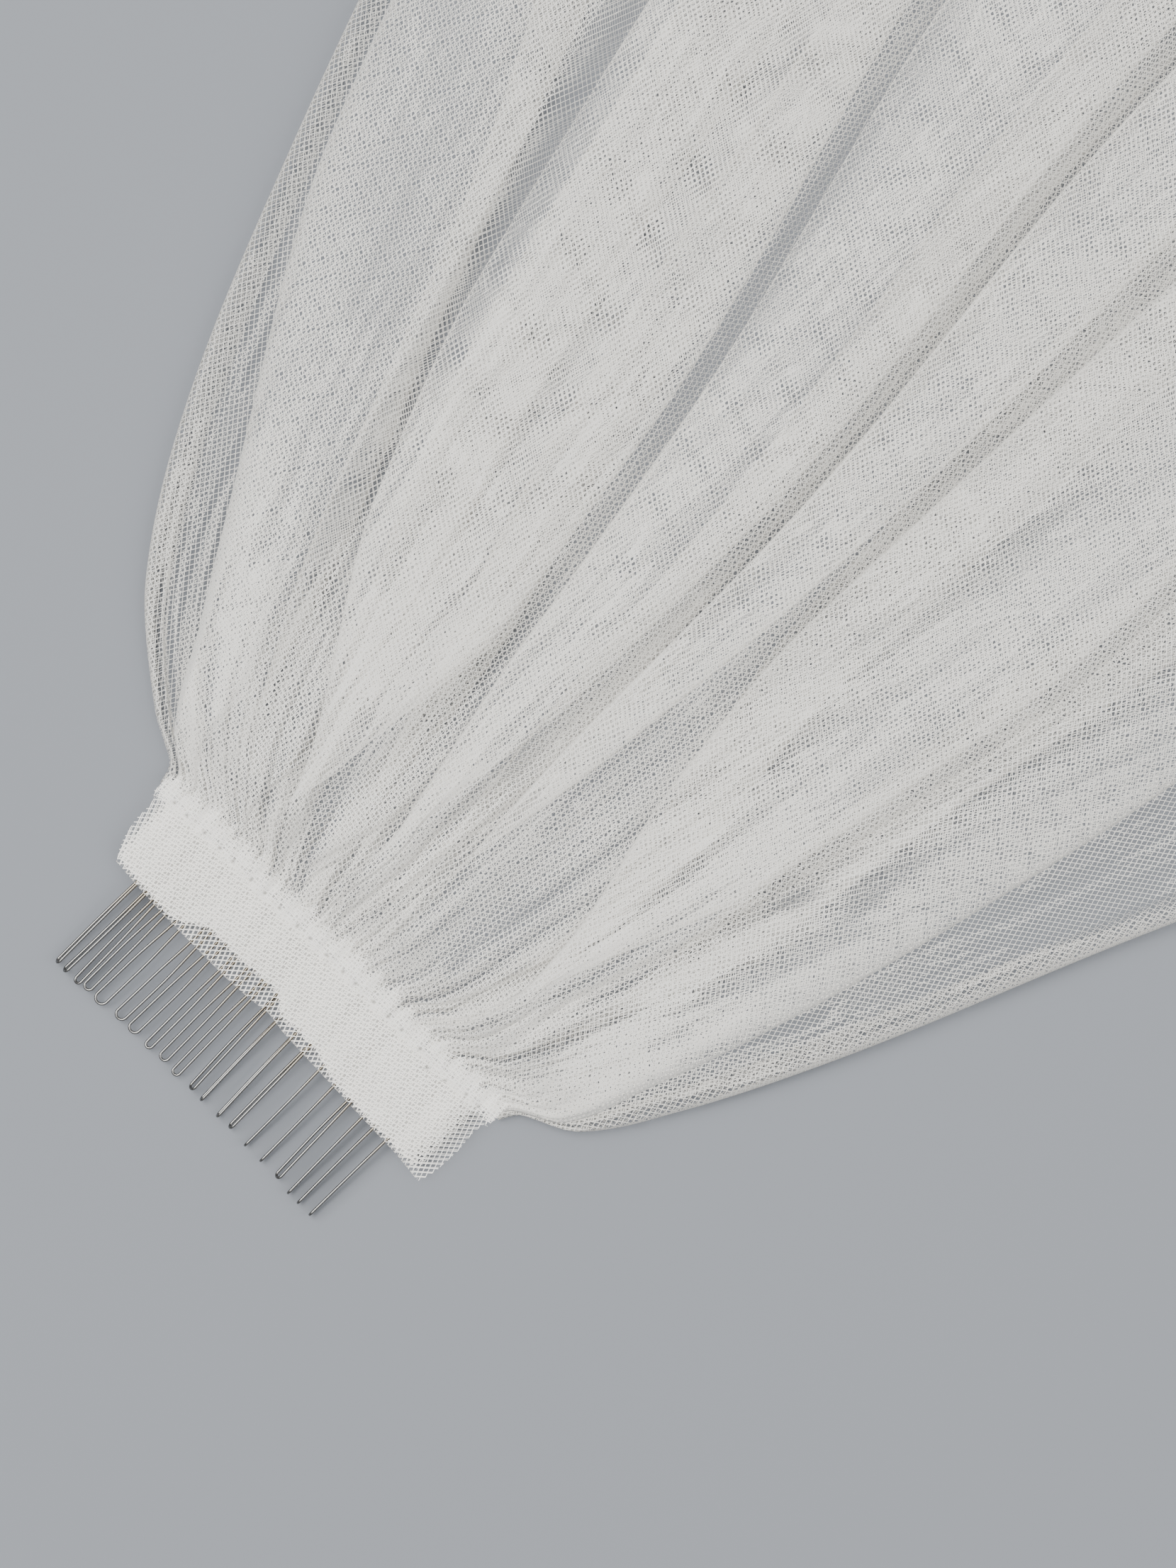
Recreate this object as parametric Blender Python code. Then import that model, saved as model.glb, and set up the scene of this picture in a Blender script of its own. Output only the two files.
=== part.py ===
"""Bridal veil: two gathered tiers of soft tulle sewn to a wrapped wire hair comb, laid out flat.

Lengths are in millimetres and become metres where a mesh is made. X runs along the comb, Y from the
teeth to the hem, Z up from the surface that the veil lies on. Every y in the tables is measured from
the seam where the tulle is gathered. The part's origin is under the middle of the comb's wrap.
"""
import math
from collections import namedtuple

import bpy
import numpy as np

MM = 0.001

# Driving sizes
WALL = 1.0                  # the tulle's wall
SEAM_GAP = 0.3              # between neighbouring pieces
LOWER_LENGTH = 750.0        # seam to hem, elbow length
UPPER_LENGTH = 600.0
BAND_LENGTH = 97.0          # the wrap, along the comb
BAND_WIDTH = 18.3           # the wrap, from the seam to its open edge
BAND_HEIGHT = 5.9
BAND_ROUND = 1.6            # radius of the wrap's fold
MIDDLE_DROP = 0.2           # how far its upper side has sunk half way to the teeth
MOUTH_DROP = 0.9            # and at its open edge
END_TAPER = 0.05            # how much shorter its open edge is than its seam, as a share
SEAM_DEPTH = 4.0            # cloth held flat under the heading
SPINE_RADIUS = 1.1
SPINE_Y = -3.2
WIRE_RADIUS = 0.31
LEG_SPACING = 1.7           # between the two legs of a tooth
ORIGIN_Y = -BAND_WIDTH / 2

# Half-widths of the spread veil, from its middle line, at distances from the seam
Spread = namedtuple("Spread", "y left right")
SPREAD = (
    Spread(0, 50, 49.5),
    Spread(4, 51, 52),
    Spread(10, 61, 63),
    Spread(28, 82, 75),
    Spread(60, 102, 91),
    Spread(115, 125, 114),
    Spread(182, 149, 143),
    Spread(260, 176, 171),
    Spread(450, 243, 238),
    Spread(750, 340, 334),
)

# Each fold lies between two lines that run from the seam to the hem. A line is given as a share of the
# half-width at the seam, near it, in the middle, far out and at the hem. Height is the fold's rise.
LINE_Y = (0, 30, 120, 240, 750)
Fold = namedtuple("Fold", "name lean left right height")
LOWER_FOLDS = (
    Fold("left_rim", "left", (-1.00, -1.00, -1.00, -1.00, -1.00),
         (-0.94, -0.93, -0.955, -0.965, -0.97), 4.5),
    Fold("hook", "left", (-0.74, -0.62, -0.68, -0.84, -0.84),
         (-0.74, -0.53, -0.635, -0.72, -0.70), 7.0),
    Fold("left_outer", "left", (-0.50, -0.44, -0.56, -0.58, -0.58),
         (-0.50, -0.32, -0.42, -0.45, -0.48), 9.0),
    Fold("left_inner", "left", (-0.26, -0.25, -0.36, -0.41, -0.43),
         (-0.26, -0.15, -0.25, -0.345, -0.37), 8.0),
    Fold("middle", "left", (-0.02, -0.02, -0.06, -0.14, -0.20),
         (-0.02, 0.07, 0.03, -0.04, -0.06), 8.5),
    Fold("right_inner", "right", (0.37, 0.37, 0.17, 0.10, 0.10),
         (0.37, 0.48, 0.31, 0.26, 0.26), 8.0),
    Fold("right_outer", "right", (0.65, 0.60, 0.50, 0.44, 0.42),
         (0.65, 0.70, 0.62, 0.57, 0.56), 8.0),
    Fold("right_rim", "right", (0.94, 0.93, 0.95, 0.96, 0.965),
         (1.00, 1.00, 1.00, 1.00, 1.00), 4.5),
)
UPPER_FOLDS = (
    Fold("left_rim", "left", (-0.97, -0.80, -0.935, -0.955, -0.96),
         (-0.90, -0.615, -0.645, -0.675, -0.70), 10.0),
    Fold("left", "left", (-0.50, -0.50, -0.595, -0.61, -0.62),
         (-0.50, -0.19, -0.225, -0.335, -0.40), 8.5),
    Fold("middle", "left", (-0.22, -0.13, -0.185, -0.295, -0.34),
         (-0.22, -0.02, 0.00, -0.065, -0.10), 8.0),
    Fold("seam_line", "left", (0.12, 0.06, 0.04, -0.03, -0.05),
         (0.12, 0.12, 0.15, 0.12, 0.13), 7.0),
    Fold("right", "left", (0.46, 0.38, 0.19, 0.16, 0.14),
         (0.46, 0.56, 0.54, 0.42, 0.33), 8.5),
    Fold("right_rim", "right", (0.90, 0.64, 0.60, 0.48, 0.38),
         (0.97, 0.885, 0.80, 0.67, 0.58), 9.0),
)
ROW_Y = (0.3, 4, 12, 22, 36, 58, 88, 125, 170, 230, 320, 450, 600, 750)

SEAM_RISE = 1.8             # the gathers' height at the seam
RISE_LENGTH = 26.0          # how fast the folds grow away from the seam
TURN_RUN = 1.9              # how far a turning edge reaches into its fold
GATHER_LENGTH = 45.0        # how fast the small gathers die away
HEM_ARC = 0.10              # how far the hem falls back at the sides, as a share of the length
HEM_CORNER = 0.10           # the extra at the rounded corners
HEM_SWELL = 0.9             # how much taller the folds stand at the hem
HEM_START = 200.0           # the rows are straight up to here
TIER_GAP = 1.6              # clear height kept between the tiers away from the seam
DRAPE_LENGTH = 14.0         # how soon past the heading the upper tier follows the lower one's shape
STEP_RUN = 1.1              # an upright gather's slope, where nothing laps over yet
WIDE_GAP = 14.0             # a valley narrower than this between two folds stays half full
LAP_START = 4.0             # from here the folds begin to lap over each other
LAP_LENGTH = 70.0           # and this much further on they lap fully
RIM_SHARE = 0.85            # a fold that starts past this share of the half-width is an edge's own

# A fold's section, in shares of its height: the lower turn, the two ends of the middle layer and the
# upper turn, then the edge past the lower turn where the cloth drops
LOWER_TURN = 0.22
MIDDLE_LAYER = (0.44, 0.56)
UPPER_TURN = 0.78
DROP_EDGE = 0.84
# The free edge's turn: its start under the fold, its middle and its end on top
RIM_TURN = (0.06, 0.48, 0.94)
RIM_REACH = 0.35            # how far that turn reaches in, as a share of the height
SHOULDER = 0.2              # the top layer falls off over this share of the fold's width
# Behind a fold the cloth dips and rises to a small ridge. Both are shares of the height, far from the
# seam, with what the gathers near the seam add to them; in a narrow valley the cloth stays up
DIP = (0.48, -0.33)
RIDGE = (0.14, 0.42)
HELD_UP = (0.75, 0.65)
TUCK = 0.35                 # how far a fold's cloth runs in under the next fold, as a share of its width
TUCK_ROOM = 2.2             # and how much room that leaves for the turn, in turns
VALLEY_HELD = 0.6           # how high the cloth stays between two folds that face away from each other
VALLEY_WIDTH = 25.0         # the valley that is wide enough for it to sink
MAP_STEP = 2.5              # cell size of the lower tier's height map
MAP_MARGIN = 30.0
MAP_REACH = 4               # cells by which a fold's height is spread sideways

# How far the wrap's open edge reaches from the seam, along the comb
Reach = namedtuple("Reach", "x reach")
WRAP_EDGE = (
    Reach(-50, 17.3),
    Reach(-38, 18.1),
    Reach(-30, 18.5),
    Reach(-12, 18.6),
    Reach(0, 17.5),
    Reach(12, 18.5),
    Reach(28, 19.1),
    Reach(40, 19.5),
    Reach(50, 20.0),
)

# Teeth: where each leaves the wrap and ends, and how wide its loop looks from above
Tooth = namedtuple("Tooth", "root_x tip_x tip_y width")
TEETH = (
    Tooth(-38.2, -38.8, -41.5, 0.7),
    Tooth(-35.9, -36.4, -41.7, 0.8),
    Tooth(-33.4, -33.0, -41.7, 1.5),
    Tooth(-29.9, -30.6, -41.2, 1.9),
    Tooth(-25.9, -26.9, -41.5, 2.7),
    Tooth(-21.2, -21.6, -40.8, 2.4),
    Tooth(-17.3, -17.7, -40.8, 2.4),
    Tooth(-13.2, -13.0, -40.8, 1.6),
    Tooth(-9.1, -9.0, -40.4, 2.0),
    Tooth(-5.1, -5.0, -40.8, 1.7),
    Tooth(-1.2, -0.4, -40.4, 1.1),
    Tooth(2.4, 2.8, -40.6, 0.3),
    Tooth(6.9, 7.6, -40.6, 0.3),
    Tooth(10.9, 11.1, -40.4, 0.7),
    Tooth(15.4, 16.0, -40.8, 0.0),
    Tooth(20.0, 20.6, -40.8, 0.0),
    Tooth(25.0, 25.4, -40.8, 1.1),
    Tooth(29.2, 29.4, -41.5, 0.0),
    Tooth(32.7, 32.3, -41.5, 0.0),
    Tooth(36.5, 35.8, -41.5, 0.0),
)
TOOTH_HEIGHT = 2.5          # middle of a tooth inside the wrap
TIP_HEIGHT = 1.35           # middle of its loop at the tip
TOOTH_BEND_Y = -20.0        # from here the teeth curve down

HEADING_THICK = 1.2
HEADING_WAVE = 0.55
HEADING_PITCH = 4.6         # one ruffle for each stitch
HEADING_FRONT = -0.4
HEADING_BACK = 3.4

TULLE = ((0.86, 0.855, 0.83), 0.75, 0.0)
SATIN_TULLE = ((0.90, 0.89, 0.87), 0.7, 0.0)
SILVER_WIRE = ((0.78, 0.77, 0.74), 0.25, 1.0)


def clear_scene():
    for item in list(bpy.data.objects):
        bpy.data.objects.remove(item, do_unlink=True)


def material(name, look):
    """A Principled material from a colour, a roughness and a metallic value."""
    colour, roughness, metallic = look
    made = bpy.data.materials.new(name)
    made.use_nodes = True
    shader = made.node_tree.nodes["Principled BSDF"]
    shader.inputs["Base Color"].default_value = (*colour, 1.0)
    shader.inputs["Roughness"].default_value = roughness
    shader.inputs["Metallic"].default_value = metallic
    return made


def smooth_step(t):
    t = np.clip(t, 0.0, 1.0)
    return t * t * (3.0 - 2.0 * t)


def table_value(y, stations, values):
    """A smooth curve through table values: cubic between stations, never past its neighbours."""
    stations = np.asarray(stations, float)
    values = np.asarray(values, float)
    slopes = np.diff(values) / np.diff(stations)
    inner = np.where(slopes[:-1] * slopes[1:] > 0,
                     2.0 * slopes[:-1] * slopes[1:] / np.where(slopes[:-1] + slopes[1:] == 0, 1.0,
                                                             slopes[:-1] + slopes[1:]), 0.0)
    tangents = np.concatenate(([slopes[0]], inner, [slopes[-1]]))
    span = int(np.clip(np.searchsorted(stations, y) - 1, 0, len(stations) - 2))
    width = stations[span + 1] - stations[span]
    t = (y - stations[span]) / width
    return ((1 + 2 * t) * (1 - t) ** 2 * values[span] + t * (1 - t) ** 2 * width * tangents[span]
            + t * t * (3 - 2 * t) * values[span + 1] + t * t * (t - 1) * width * tangents[span + 1])


def half_widths(y):
    stations = [row.y for row in SPREAD]
    return (table_value(y, stations, [row.left for row in SPREAD]),
            table_value(y, stations, [row.right for row in SPREAD]))


def line_x(shares, y):
    """Where a fold's line lies at a distance from the seam."""
    share = table_value(y, LINE_Y, shares)
    left, right = half_widths(y)
    return share * (left if share < 0 else right)


def rise(height, y):
    """A fold's height: low under the heading, full height further out, tallest at the hem."""
    grown = 1.0 - math.exp(-max(0.0, y - SEAM_DEPTH) / RISE_LENGTH)
    return SEAM_RISE + (height * (1 + HEM_SWELL * y / LOWER_LENGTH) - SEAM_RISE) * grown


def curve_through(keys, counts):
    """A centripetal Catmull-Rom curve through the key points, with so many points in each span."""
    keys = np.asarray(keys, float)
    padded = np.vstack((2 * keys[0] - keys[1], keys, 2 * keys[-1] - keys[-2]))
    steps = np.linalg.norm(np.diff(padded, axis=0), axis=1)
    knots = np.concatenate(([0.0], np.cumsum(np.sqrt(steps) + 1e-6)))
    parts = []
    for span, count in enumerate(counts, start=1):
        p0, p1, p2, p3 = padded[span - 1:span + 3]
        t0, t1, t2, t3 = knots[span - 1:span + 3]
        t = np.linspace(t1, t2, count, endpoint=False)[:, None]
        a1 = (t1 - t) / (t1 - t0) * p0 + (t - t0) / (t1 - t0) * p1
        a2 = (t2 - t) / (t2 - t1) * p1 + (t - t1) / (t2 - t1) * p2
        a3 = (t3 - t) / (t3 - t2) * p2 + (t - t2) / (t3 - t2) * p3
        b1 = (t2 - t) / (t2 - t0) * a1 + (t - t0) / (t2 - t0) * a2
        b2 = (t3 - t) / (t3 - t1) * a2 + (t - t1) / (t3 - t1) * a3
        parts.append((t2 - t) / (t2 - t1) * b1 + (t - t1) / (t2 - t1) * b2)
    return np.vstack(parts + [keys[-1:]])


def fold_keys(left, right, height, start, end, drop_x, free_edge, gather):
    """Key points of one fold that leans left, and the number of points from each key to the next.

    The cloth runs right on the bottom layer to the lower turn, back left as the middle layer, round the
    upper turn and right again as the top layer, then drops past the lower turn and sinks to the end.
    With no width it is one upright gather, with a smaller one behind it. The free edge's fold is the
    edge turned under."""
    width = right - left
    lapped = min(1.0, max(0.0, width) / (2.5 * TURN_RUN))
    run = TURN_RUN * lapped
    lean = STEP_RUN * (1 - lapped)
    base = WALL / 2
    if free_edge:
        reach = min(RIM_REACH * height, 0.5 * width)
        keys = [(right, base), (left + reach, base + RIM_TURN[0] * height),
                (left, base + RIM_TURN[1] * height), (left + reach, base + RIM_TURN[2] * height)]
        counts = [4, 2, 2, 1]
    else:
        keys = [start, (right - TURN_RUN - 0.5 * lean, base), (right - lean, base + LOWER_TURN * height),
                (right - run - 0.3 * lean, base + MIDDLE_LAYER[0] * height),
                (left + run + 0.3 * lean, base + MIDDLE_LAYER[1] * height),
                (left + lean, base + UPPER_TURN * height), (left + TURN_RUN + 0.5 * lean, base + height)]
        counts = [2, 2, 2, 1, 2, 2, 1]
    shoulder = max(right - SHOULDER * width, keys[-1][0] + WALL)
    past = max(right + 0.35 * TURN_RUN, shoulder + 1.2 * WALL)
    keys += [(shoulder, base + height), (past, base + DROP_EDGE * height)]
    if drop_x is None:
        dip_x, dip_z = past + (end[0] - past) / 3, HELD_UP[0]
        ridge_x, ridge_z = past + (end[0] - past) * 2 / 3, HELD_UP[1]
    else:
        dip_x, dip_z = past + (0.5 - 0.1 * gather) * (drop_x - past), DIP[0] + DIP[1] * gather
        ridge_x, ridge_z = drop_x - 0.15 * gather * (drop_x - past), RIDGE[0] + RIDGE[1] * gather
    keys += [(dip_x, base + dip_z * height), (ridge_x, base + ridge_z * height), end]
    return keys, counts + [1, 1, 1, 1]


def mirrored(keys, counts):
    return [(-x, z) for x, z in reversed(keys)], counts[::-1]


def fold_lines(fold, y):
    """A fold's two lines. Its layers only start to lap over each other a little way from the seam."""
    left, right = line_x(fold.left, y), line_x(fold.right, y)
    lap = smooth_step((y - LAP_START) / LAP_LENGTH)
    middle = (left + right) / 2
    if abs(fold.left[0]) > RIM_SHARE:
        return left, right
    return middle + lap * (left - middle), middle + lap * (right - middle)


def boundary(before, after, y):
    """Where one fold's points end and the next one's begin, and where the cloth between has dropped."""
    base = WALL / 2
    before_left, before_right = fold_lines(before, y)
    after_left, after_right = fold_lines(after, y)
    if before.lean == "left" and after.lean == "left":
        x = min(after_left + TUCK * (after_right - after_left), after_right - TUCK_ROOM * TURN_RUN)
        return (x, base), min(after_left + WALL, x - 1.2 * WALL), None
    if before.lean == "right" and after.lean == "right":
        x = max(before_right - TUCK * (before_right - before_left), before_left + TUCK_ROOM * TURN_RUN)
        return (x, base), None, max(before_right - WALL, x + 1.2 * WALL)
    gap = after_left - before_right
    held = VALLEY_HELD * (1.0 - smooth_step(gap / VALLEY_WIDTH))
    x = (before_right + after_left) / 2
    level = base + held * min(rise(before.height, y), rise(after.height, y))
    if gap < WIDE_GAP:
        return (x, level), None, None
    return (x, level), x - 0.15 * gap, x + 0.15 * gap


def section(folds, y):
    """A tier's cross-section at a distance from the seam, as x and z columns."""
    gather = math.exp(-y / GATHER_LENGTH)
    pieces = []
    start, start_drop = None, None
    for index, fold in enumerate(folds):
        left, right = fold_lines(fold, y)
        height = rise(fold.height, y)
        first = index == 0
        last = index == len(folds) - 1
        end, end_drop, next_drop = (None, None, None) if last else boundary(fold, folds[index + 1], y)
        if fold.lean == "left":
            keys, counts = fold_keys(left, right, height, start, end, end_drop, first, gather)
        else:
            back_start = None if last else (-end[0], end[1])
            back_drop = None if start_drop is None else -start_drop
            keys, counts = mirrored(*fold_keys(-right, -left, height, back_start,
                                               (-start[0], start[1]), back_drop, last, gather))
        points = curve_through(keys, counts)
        pieces.append(points if first else points[1:])
        start, start_drop = end, next_drop
    return np.vstack(pieces)


def top_surface(grid):
    """A height map of a tier's upper side, widened and smoothed, so that a tier above clears it."""
    low_x, low_y = grid[..., 0].min() - MAP_MARGIN, -MAP_MARGIN
    across = int((grid[..., 0].max() + MAP_MARGIN - low_x) / MAP_STEP) + 2
    along = int((grid[..., 1].max() + MAP_MARGIN - low_y) / MAP_STEP) + 2
    level = np.zeros((along, across))
    for s in np.linspace(0.0, 1.0, 40, endpoint=False):
        rows = grid[:-1] * (1 - s) + grid[1:] * s
        for t in np.linspace(0.0, 1.0, 12, endpoint=False):
            points = rows[:, :-1] * (1 - t) + rows[:, 1:] * t
            column = ((points[..., 0] - low_x) / MAP_STEP).astype(int)
            row = ((points[..., 1] - low_y) / MAP_STEP).astype(int)
            np.maximum.at(level, (row, column), points[..., 2])
    for axis in (0, 1):
        level = np.max([np.roll(level, shift, axis) for shift in range(-MAP_REACH, MAP_REACH + 1)], axis=0)
    for axis in (0, 1, 0, 1):
        level = np.mean([np.roll(level, shift, axis) for shift in (-2, -1, 0, 1, 2)], axis=0)

    def read(x, y):
        u = np.clip((x - low_x) / MAP_STEP - 0.5, 0, across - 2)
        v = np.clip((y - low_y) / MAP_STEP - 0.5, 0, along - 2)
        i, j = v.astype(int), u.astype(int)
        f, g = v - i, u - j
        return ((1 - f) * ((1 - g) * level[i, j] + g * level[i, j + 1])
                + f * ((1 - g) * level[i + 1, j] + g * level[i + 1, j + 1]))

    return read


def tier_rows(folds, length, under=None):
    """A tier's middle surface as rows of points. Its rows stop at the length, bent back to a round hem."""
    rows = []
    for y in [value for value in ROW_Y if value <= length]:
        points = section(folds, y)
        x, z = points[:, 0], points[:, 1]
        left, right = half_widths(y)
        across = np.abs(x) / np.where(x < 0, left, right)
        bent = smooth_step((y - HEM_START) / (length - HEM_START))
        corner = np.clip((across - 0.55) / 0.45, 0.0, 1.0)
        back = bent * (HEM_ARC * across ** 2 + HEM_CORNER * (1 - np.sqrt(1 - corner ** 2)))
        back_y = y * (1 - back)
        if under is not None:
            blend = smooth_step((y - SEAM_DEPTH) / DRAPE_LENGTH)
            draped = under(x, back_y) + WALL + TIER_GAP * (1 + y / length)
            z = z - WALL / 2 + (1 - blend) * (1.5 * WALL + SEAM_RISE + SEAM_GAP) + blend * draped
        rows.append(np.column_stack((x, back_y, z)))
    return np.array(rows)


def mean_direction(grid, axis):
    """The direction of a grid's lines at each point: the mean of the steps before and after, as units."""
    step = np.diff(grid, axis=axis)
    step = step / np.maximum(np.linalg.norm(step, axis=2, keepdims=True), 1e-9)
    first, last = np.take(step, [0], axis), np.take(step, [-1], axis)
    return np.concatenate((first, step), axis) + np.concatenate((step, last), axis)


def surface_normals(grid):
    normals = np.cross(mean_direction(grid, 1), mean_direction(grid, 0))
    return normals / np.linalg.norm(normals, axis=2, keepdims=True)


def place(points):
    """Millimetres from the seam to metres from the part's origin."""
    return (np.asarray(points, float) - (0.0, ORIGIN_Y, 0.0)) * MM


def add_mesh(name, points, faces, look):
    mesh = bpy.data.meshes.new(name)
    mesh.from_pydata(place(points).tolist(), [], faces)
    mesh.validate()
    mesh.update()
    mesh.shade_smooth()
    mesh.set_sharp_from_angle(angle=math.radians(50))
    mesh.materials.append(material(name + "_finish", look))
    made = bpy.data.objects.new(name, mesh)
    bpy.context.collection.objects.link(made)
    return made


def wall_of(grid, thickness):
    """A closed wall on both sides of a grid of points, with its rim faces."""
    normals = surface_normals(grid)
    upper = grid + normals * thickness / 2
    lower = grid - normals * thickness / 2
    lower[..., 2] = np.maximum(lower[..., 2], 0.0)
    upper[..., 2] = np.maximum(upper[..., 2], 0.0)
    rows, columns = grid.shape[:2]
    points = np.vstack((upper.reshape(-1, 3), lower.reshape(-1, 3)))
    offset = rows * columns
    index = np.arange(offset).reshape(rows, columns)
    a, b = index[:-1, :-1].ravel(), index[:-1, 1:].ravel()
    c, d = index[1:, 1:].ravel(), index[1:, :-1].ravel()
    faces = list(zip(a, b, c, d)) + list(zip(a + offset, d + offset, c + offset, b + offset))
    border = np.concatenate((index[0, :], index[1:, -1], index[-1, -2::-1], index[-2:0:-1, 0]))
    after = np.roll(border, -1)
    faces += list(zip(border, border + offset, after + offset, after))
    return points, [tuple(int(corner) for corner in face) for face in faces]


def build_tiers():
    lower = tier_rows(LOWER_FOLDS, LOWER_LENGTH)
    upper = tier_rows(UPPER_FOLDS, UPPER_LENGTH, top_surface(lower))
    for name, grid in (("tier_lower", lower), ("tier_upper", upper)):
        points, faces = wall_of(grid, WALL)
        add_mesh(name, points, faces, TULLE)


def wrap_profile():
    """The wrap's section across the comb: a fold round the spine, open on the side of the teeth."""
    outer = [(-1.0, 0.0), (-0.5, 0.0)]
    for step in range(1, 4):
        angle = math.radians(-90 + 30 * step)
        outer.append((BAND_ROUND * (math.cos(angle) - 1) / BAND_WIDTH, BAND_ROUND * (math.sin(angle) + 1)))
    for step in range(0, 4):
        angle = math.radians(30 * step)
        outer.append((BAND_ROUND * (math.cos(angle) - 1) / BAND_WIDTH,
                      BAND_HEIGHT - BAND_ROUND * (1 - math.sin(angle))))
    outer += [(-0.5, BAND_HEIGHT - MIDDLE_DROP), (-1.0, BAND_HEIGHT - MOUTH_DROP)]
    inner = [(-1.0, BAND_HEIGHT - MOUTH_DROP - WALL), (-0.5, BAND_HEIGHT - MIDDLE_DROP - WALL)]
    hollow = BAND_ROUND - WALL
    for step in range(0, 3):
        angle = math.radians(90 - 45 * step)
        inner.append(((hollow * math.cos(angle) - BAND_ROUND) / BAND_WIDTH,
                      BAND_HEIGHT - BAND_ROUND + hollow * math.sin(angle)))
    for step in range(0, 3):
        angle = math.radians(-45 * step)
        inner.append(((hollow * math.cos(angle) - BAND_ROUND) / BAND_WIDTH,
                      BAND_ROUND + hollow * math.sin(angle)))
    inner += [(-0.5, WALL), (-1.0, WALL)]
    return np.array(outer + inner)


def wrap_edge(x):
    """How far the wrap's open edge reaches from the seam."""
    return table_value(x, [row.x for row in WRAP_EDGE], [row.reach for row in WRAP_EDGE])


def build_wrap():
    profile = wrap_profile()
    stations = np.linspace(-BAND_LENGTH / 2, BAND_LENGTH / 2, 16)
    rings = []
    for x in stations:
        share, z = profile[:, 0], profile[:, 1]
        taper = 1.0 - END_TAPER * np.abs(share) ** 1.5 * smooth_step((abs(x) - 30.0) / 15.0)
        rings.append(np.column_stack((x * taper, share * wrap_edge(x), z)))
    count = len(profile)
    points = np.vstack(rings)
    faces = []
    for ring in range(len(stations) - 1):
        for corner in range(count):
            after = (corner + 1) % count
            faces.append((ring * count + after, (ring + 1) * count + after,
                          (ring + 1) * count + corner, ring * count + corner))
    faces.append(tuple(reversed(range(count))))
    last = (len(stations) - 1) * count
    faces.append(tuple(last + corner for corner in range(count)))
    return add_mesh("comb_wrap", points, faces, SATIN_TULLE)


def build_heading():
    """The ruffled ridge on the seam: a flat strip with one wave for each stitch."""
    base = BAND_HEIGHT + SEAM_GAP + HEADING_THICK / 2 + HEADING_WAVE
    x = np.arange(-BAND_LENGTH / 2, BAND_LENGTH / 2 + 0.1, HEADING_PITCH / 4)
    rows = []
    for share in (0.0, 1.0):
        y = HEADING_FRONT + share * (HEADING_BACK - HEADING_FRONT)
        z = base + HEADING_WAVE * np.sin(2 * math.pi * x / HEADING_PITCH + 0.8 * share)
        rows.append(np.column_stack((x, np.full(len(x), y), z)))
    points, faces = wall_of(np.array(rows), HEADING_THICK)
    return add_mesh("gather_heading", points, faces, SATIN_TULLE)


def add_wire(name, path, radius, roundness):
    """A wire along a path, closed at both ends. Roundness 0 gives it four sides, and each step adds four."""
    curve = bpy.data.curves.new(name, "CURVE")
    curve.dimensions = "3D"
    curve.bevel_depth = radius * MM
    curve.bevel_resolution = roundness
    curve.use_fill_caps = True
    spline = curve.splines.new("POLY")
    spline.points.add(len(path) - 1)
    for point, where in zip(spline.points, place(path)):
        point.co = (*where, 1.0)
    curve.materials.append(material(name + "_finish", SILVER_WIRE))
    made = bpy.data.objects.new(name, curve)
    bpy.context.collection.objects.link(made)
    return made


def build_spine():
    half = TEETH[-1].root_x + 2.5
    z = WALL + SEAM_GAP + SPINE_RADIUS
    path = [(x, SPINE_Y, z) for x in np.linspace(-half - 1.5, half, 5)]
    return add_wire("comb_spine", path, SPINE_RADIUS, 3)


def tooth_path(tooth):
    """A hairpin: out along one leg, round the tip and back along the other, rolled about its own line."""
    spacing = max(LEG_SPACING, tooth.width)
    side = np.array([tooth.width / 2, 0.0, math.sqrt(spacing ** 2 - tooth.width ** 2) / 2])
    root_y = SPINE_Y - SPINE_RADIUS - SEAM_GAP - WIRE_RADIUS
    bend_y = tooth.tip_y + spacing / 2

    def middle(y):
        along = (y - root_y) / (tooth.tip_y - root_y)
        drop = smooth_step((TOOTH_BEND_Y - y) / (TOOTH_BEND_Y - tooth.tip_y) * 0.5) * 2
        return np.array([tooth.root_x + along * (tooth.tip_x - tooth.root_x), y,
                         TOOTH_HEIGHT + drop * (TIP_HEIGHT - TOOTH_HEIGHT)])

    legs = [root_y, TOOTH_BEND_Y, 0.5 * (TOOTH_BEND_Y + bend_y), bend_y]
    path = [middle(y) - side for y in legs]
    for angle in (45, 90, 135):
        turn = math.radians(angle)
        tip = middle(bend_y - math.sin(turn) * spacing / 2)
        path.append(tip - side * math.cos(turn))
    path += [middle(y) + side for y in reversed(legs)]
    return path


def build_teeth():
    for number, tooth in enumerate(TEETH, start=1):
        add_wire(f"tooth_{number:02d}", tooth_path(tooth), WIRE_RADIUS, 1)


def main():
    clear_scene()
    build_spine()
    build_teeth()
    build_wrap()
    build_heading()
    build_tiers()


main()
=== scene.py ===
import math
from collections import namedtuple

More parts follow.
